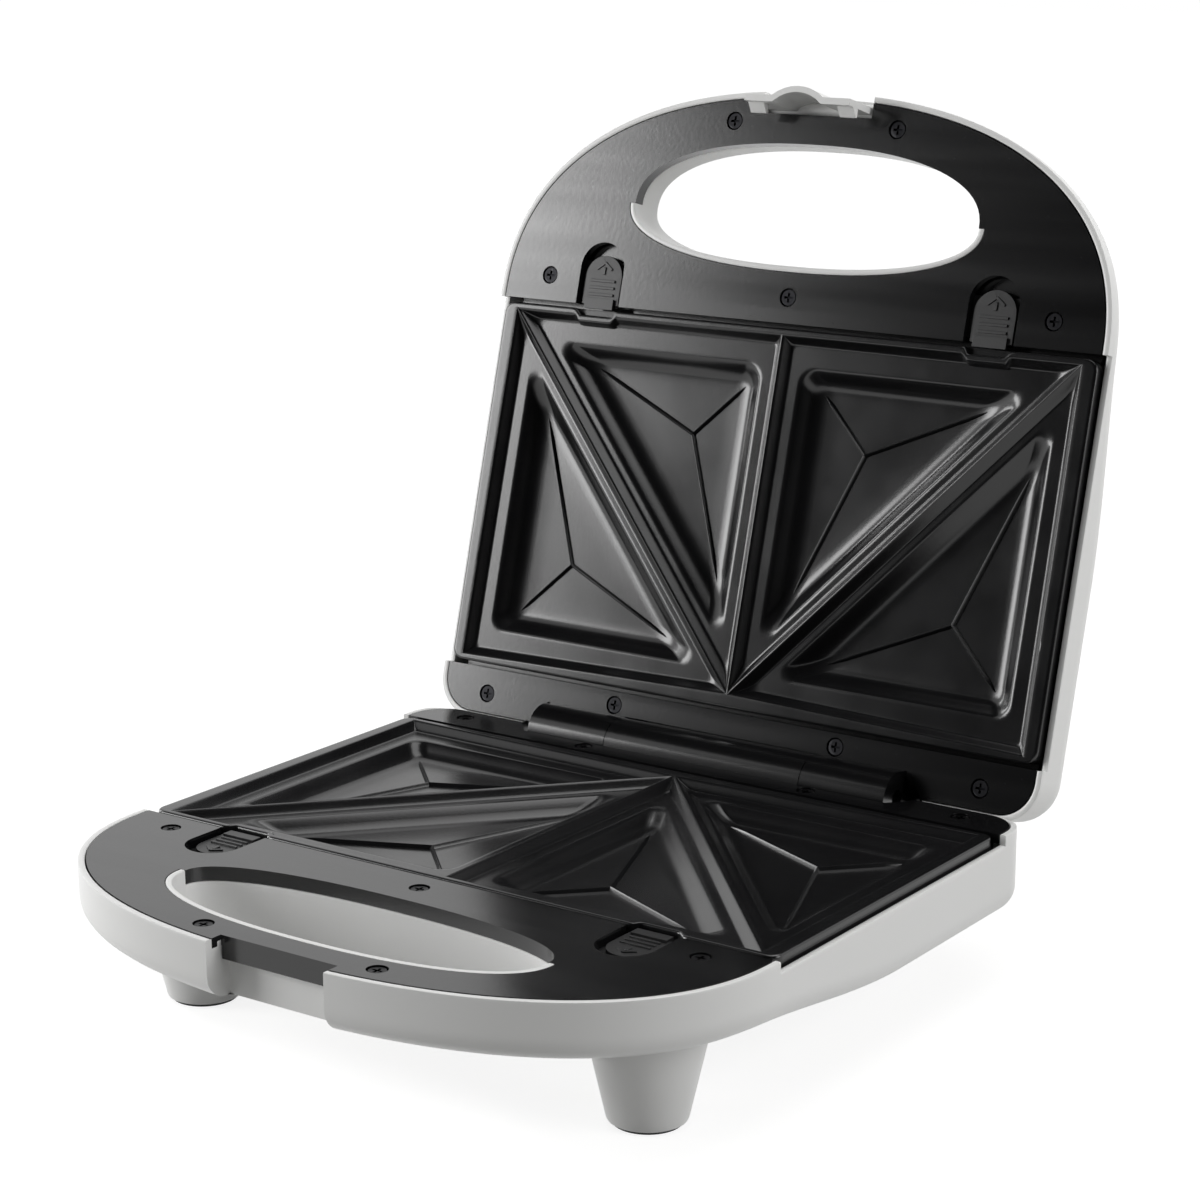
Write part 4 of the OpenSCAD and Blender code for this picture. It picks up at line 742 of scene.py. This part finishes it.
# Non-stick coat, a sprayed and baked fluoropolymer: near black, half glossy, with a fine orange
# peel about a millimetre across and a few paler rubbed spots where the spray ran thin.
non_stick, tree, out = empty_material("black_nonstick_coating")
where = add(tree, "ShaderNodeTexCoord").outputs["Object"]
clouds = noise(tree, where, 60.0, 4.0)
tint = two_tone(tree, clouds, "111112", "161617")
peel = noise(tree, where, 1100.0, 2.5)
shine = add(tree, "ShaderNodeMapRange", {"Value": clouds, "From Min": 0.3, "From Max": 0.7,
            "To Min": 0.2, "To Max": 0.24})
relief = add(tree, "ShaderNodeBump", {"Height": peel, "Strength": 0.06, "Distance": 0.0002})
coat(tree, out, {"Base Color": tint, "Roughness": shine.outputs[0],
                "IOR": 1.54, "Normal": relief.outputs[0]})
lower_plate = plate(in_base, "lower_plate", "base_plate")
upper_plate = plate(in_lid, "upper_plate", "lid_plate")

# Pieces whose CAD form is right keep it. Their meshes are merged, their flat areas are made whole
# and their edges are broken by a small round, as every moulded or stamped piece has.
def dress(node, material, round_mm=0.25, flat_turn=0.6, segments=2):
    """Gives a CAD node its material, a small round on edges that turn over 32 degrees, and smooth sides."""
    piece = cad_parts[node]
    for place in piece.material_slots:
        place.material = material
    if not piece.material_slots:
        piece.data.materials.append(material)
    weld = piece.modifiers.new("weld", "WELD")
    weld.merge_threshold = 2e-6
    if flat_turn:
        flat = piece.modifiers.new("flat", "DECIMATE")
        flat.decimate_type = "DISSOLVE"
        flat.angle_limit = math.radians(flat_turn)
    if round_mm:
        edge = piece.modifiers.new("round", "BEVEL")
        edge.width = round_mm/1000
        edge.segments = segments
        edge.limit_method = "ANGLE"
        edge.angle_limit = math.radians(32)
        edge.use_clamp_overlap = True
        edge.miter_outer = "MITER_ARC"
    smooth_edges(piece, 42)
    flats = piece.modifiers.new("flats", "WEIGHTED_NORMAL")
    flats.keep_sharp = True
    return piece


# Black bezels: glass-filled polyester, injection moulded and half glossy. It shows a soft sheen
# with drawn-out flow marks and fine dust-like specks.
black_pbt, tree, out = empty_material("black_moulded_pbt")
where = add(tree, "ShaderNodeTexCoord").outputs["Object"]
long_way = add(tree, "ShaderNodeMapping", {"Vector": where, "Scale": (4.0, 70.0, 70.0)}).outputs[0]
flow = noise(tree, long_way, 1.6, 2.5)
shine = add(tree, "ShaderNodeMapRange", {"Value": flow, "From Min": 0.3, "From Max": 0.7,
            "To Min": 0.18, "To Max": 0.235})
specks = add(tree, "ShaderNodeTexVoronoi", {"Vector": where, "Scale": 330.0})
dust = add(tree, "ShaderNodeMapRange", {"Value": specks.outputs["Distance"], "From Min": 0.0,
           "From Max": 0.075, "To Min": 1.0, "To Max": 0.0})
tint = two_tone(tree, dust.outputs[0], "0c0c0d", "3a3a3a")
peel = noise(tree, where, 700.0, 2.0)
relief = add(tree, "ShaderNodeBump", {"Height": peel, "Strength": 0.06, "Distance": 0.0002})
coat(tree, out, {"Base Color": tint, "Roughness": shine.outputs[0],
                "IOR": 1.59, "Normal": relief.outputs[0]})
for node in ("base_bezel", "lid_bezel"):
    dress(node, black_pbt, 0.3)

# Release buttons: the same black resin from a sparked mould, so duller and slightly grained, with
# their grip ribs and arrow standing proud.
button_pbt, tree, out = empty_material("black_grained_pbt")
where = add(tree, "ShaderNodeTexCoord").outputs["Object"]
grain = noise(tree, where, 2600.0, 2.0)
tint = two_tone(tree, grain, "0f0f10", "161617")
relief = add(tree, "ShaderNodeBump", {"Height": grain, "Strength": 0.2, "Distance": 0.0001})
coat(tree, out, {"Base Color": tint, "Roughness": 0.42, "IOR": 1.55, "Normal": relief.outputs[0]})
for half in ("base", "lid"):
    for side in ("left", "right"):
        dress(f"{half}_button_{side}", button_pbt, 0.12, 0)

# Latch clip: white acetal, moulded and waxy.
white_pom, tree, out = empty_material("white_moulded_acetal")
where = add(tree, "ShaderNodeTexCoord").outputs["Object"]
milk = noise(tree, where, 120.0, 2.0)
tint = two_tone(tree, milk, "ececea", "f3f3f2")
coat(tree, out, {"Base Color": tint, "Roughness": 0.3, "IOR": 1.48})
dress("latch", white_pom, 0.35, segments=3)

# Bezel screws: case-hardened steel, blackened and oiled, with bright wear where a driver has bitten.
black_oxide, tree, out = empty_material("black_oxide_steel")
where = add(tree, "ShaderNodeTexCoord").outputs["Object"]
worn = noise(tree, where, 900.0, 3.0)
edge = add(tree, "ShaderNodeNewGeometry")
bare = add(tree, "ShaderNodeMapRange", {"Value": edge.outputs["Pointiness"], "From Min": 0.52,
           "From Max": 0.62, "To Min": 0.0, "To Max": 1.0})
tint = two_tone(tree, bare.outputs[0], "1a1a1c", "3c3c3e")
shine = add(tree, "ShaderNodeMapRange", {"Value": worn, "To Min": 0.3, "To Max": 0.5})
coat(tree, out, {"Base Color": tint, "Metallic": 1.0, "Roughness": shine.outputs[0]})
for node in ("base_screws", "lid_screws"):
    dress(node, black_oxide, 0.12)

# Reflector trays, with the heaters' saddles and the trays' screws: aluminised steel, drawn or pressed,
# with a soft grey sheen, drawing streaks and a little straw colour from the heat.
drawn_steel, tree, out = empty_material("aluminised_steel_sheet")
where = add(tree, "ShaderNodeTexCoord").outputs["Object"]
long_way = add(tree, "ShaderNodeMapping", {"Vector": where, "Scale": (6.0, 220.0, 220.0)}).outputs[0]
streaks = noise(tree, long_way, 3.0, 5.0)
heat = noise(tree, where, 18.0, 2.0)
tint = two_tone(tree, heat, "cfcfcd", "c9bfa8")
shine = add(tree, "ShaderNodeMapRange", {"Value": streaks, "To Min": 0.28, "To Max": 0.48})
coat(tree, out, {"Base Color": tint, "Metallic": 1.0, "Roughness": shine.outputs[0]})
for half in ("base", "lid"):
    for piece in ("reflector", "saddles", "tray_screws"):
        dress(f"{half}_{piece}", drawn_steel, 0.15)

# Heaters: stainless tube filled with magnesia, run hot until it took a brown and blue oxide.
hot_tube, tree, out = empty_material("oxidised_stainless_tube")
where = add(tree, "ShaderNodeTexCoord").outputs["Object"]
scale = noise(tree, where, 45.0, 4.0)
tint = two_tone(tree, scale, "5c4f45", "4d5056")
coat(tree, out, {"Base Color": tint, "Metallic": 1.0, "Roughness": 0.42})
for half in ("base", "lid"):
    dress(f"{half}_heater", hot_tube, 0, 0)

# Heater ends and the thermostat's body: pressed and fired steatite, cream, dry and faintly speckled.
steatite, tree, out = empty_material("fired_steatite")
where = add(tree, "ShaderNodeTexCoord").outputs["Object"]
fleck = noise(tree, where, 1500.0, 1.0)
tint = two_tone(tree, fleck, "d9d0bd", "efe9dc")
coat(tree, out, {"Base Color": tint, "Roughness": 0.7, "IOR": 1.6})
for node in ("base_heater_ends", "lid_heater_ends", "thermostat"):
    dress(node, steatite, 0.2)

# Hinge pins, the latch's pin and the thermal fuse's case: bright turned metal with fine rings from
# the tool.
bright_rod, tree, out = empty_material("bright_turned_steel")
where = add(tree, "ShaderNodeTexCoord").outputs["Object"]
rings = add(tree, "ShaderNodeTexWave", {"Vector": where, "Scale": 900.0, "Distortion": 0.6},
            wave_type="BANDS", bands_direction="X")
shine = add(tree, "ShaderNodeMapRange", {"Value": rings.outputs["Fac"], "To Min": 0.18, "To Max": 0.3})
coat(tree, out, {"Base Color": linear("c4c4c6"), "Metallic": 1.0, "Roughness": shine.outputs[0]})
for node in ("hinge_pin_left", "hinge_pin_right", "latch_pin", "thermal_fuse"):
    dress(node, bright_rod, 0.2)

# Foot pads and the cord gland: moulded black rubber, dull, with a greyish bloom.
rubber, tree, out = empty_material("moulded_black_rubber")
where = add(tree, "ShaderNodeTexCoord").outputs["Object"]
bloom = noise(tree, where, 260.0, 4.0)
tint = two_tone(tree, bloom, "1d1d1d", "323230")
relief = add(tree, "ShaderNodeBump", {"Height": bloom, "Strength": 0.15, "Distance": 0.0002})
coat(tree, out, {"Base Color": tint, "Roughness": 0.72, "IOR": 1.5, "Normal": relief.outputs[0]})
dress("foot_pads", rubber, 0.4, segments=3)
dress("cord_gland", rubber, 0.4, segments=3)

# Leads: tinned copper in a woven glass-fibre sleeve, cream, with the weave about half a millimetre.
glass_sleeve, tree, out = empty_material("woven_glass_sleeve")
where = add(tree, "ShaderNodeTexCoord").outputs["Object"]
weave = add(tree, "ShaderNodeTexVoronoi", {"Vector": where, "Scale": 1700.0})
tint = two_tone(tree, weave.outputs["Distance"], "e4ddc6", "b9b196")
relief = add(tree, "ShaderNodeBump", {"Height": weave.outputs["Distance"], "Strength": 0.5,
             "Distance": 0.0002})
coat(tree, out, {"Base Color": tint, "Roughness": 0.8, "Normal": relief.outputs[0]})
for node in ("base_leads", "lid_leads"):
    dress(node, glass_sleeve, 0, 0)

# Terminal block: natural nylon, moulded, cream and slightly cloudy.
nylon, tree, out = empty_material("moulded_natural_nylon")
where = add(tree, "ShaderNodeTexCoord").outputs["Object"]
cloud = noise(tree, where, 150.0, 2.0)
tint = two_tone(tree, cloud, "ded8c4", "eae6d8")
coat(tree, out, {"Base Color": tint, "Roughness": 0.4, "IOR": 1.53})
dress("terminal_block", nylon, 0.4)


# Lamp lenses: clear polycarbonate dyed red and green, moulded glossy, with a glow lamp of thin glass
# behind each one.
def clear_plastic(name, low, high):
    """Dyed clear plastic: light passes through it, and the dye is a little uneven."""
    made, tree, out = empty_material(name)
    where = add(tree, "ShaderNodeTexCoord").outputs["Object"]
    dye = noise(tree, where, 300.0, 2.0)
    tint = two_tone(tree, dye, low, high)
    coat(tree, out, {"Base Color": tint, "Roughness": 0.12, "IOR": 1.58, "Transmission Weight": 0.35})
    return made


dress("power_lens", clear_plastic("red_clear_polycarbonate", "a01512", "c42420"), 0.5, segments=3)
dress("ready_lens", clear_plastic("green_clear_polycarbonate", "128033", "2aa04c"), 0.5, segments=3)
glow_glass = clear_plastic("thin_lamp_glass", "e8c8a4", "f2dcc0")
dress("power_lamp", glow_glass, 0, 0)
dress("ready_lamp", glow_glass, 0, 0)


# Button springs: drawn spring steel, coiled, standing between each button's leg and its stop.
spring_steel, tree, out = empty_material("drawn_spring_steel")
where = add(tree, "ShaderNodeTexCoord").outputs["Object"]
die = noise(tree, where, 2200.0, 2.0)
shine = add(tree, "ShaderNodeMapRange", {"Value": die, "To Min": 0.25, "To Max": 0.42})
coat(tree, out, {"Base Color": linear("a9a9ab"), "Metallic": 1.0, "Roughness": shine.outputs[0]})


def coil(middle_r, wire_r, length, turns):
    """A coil along -y: the wire's middle goes round a circle as it advances, close wound at both ends."""
    t = np.linspace(0, 1, turns*28 + 1)
    a = 2*np.pi*turns*t
    y = -length*(t + 0.055*np.sin(2*np.pi*t))
    middle = np.stack([middle_r*np.cos(a), y, middle_r*np.sin(a)], 1)
    way = np.gradient(middle, axis=0)
    way /= np.linalg.norm(way, axis=1)[:, None]
    out_way = np.stack([np.cos(a), np.zeros_like(a), np.sin(a)], 1)
    side = np.cross(way, out_way)
    s = np.linspace(0, 2*np.pi, 9)[:-1]
    r = np.where((t == 0) | (t == 1), 1e-4, wire_r)
    spokes = out_way[:, None]*np.cos(s)[None, :, None] + side[:, None]*np.sin(s)[None, :, None]
    return middle[:, None] + spokes*r[:, None, None]


spring_y, spring_z, stop_y = -154.3, 7.85, -164.3
for half, placed in (("base", in_base), ("lid", in_lid)):
    for side, x in (("left", -tongue_x), ("right", tongue_x)):
        wire = coil(middle_r=1.36, wire_r=0.22, length=9.5, turns=9) + [x, spring_y - 0.25, spring_z]
        made = make_piece(f"{half}_coil_{side}", [(placed(wire), grid_faces(*wire.shape[:2], False, True))],
                          [spring_steel], sharp=60)
        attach(made, half)
        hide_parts(f"{half}_spring_{side}")
        along = (placed([0, 1, 0]) - placed([0, 0, 0]))*1000
        placed([x, stop_y, spring_z]).tolist()
        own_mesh(made)
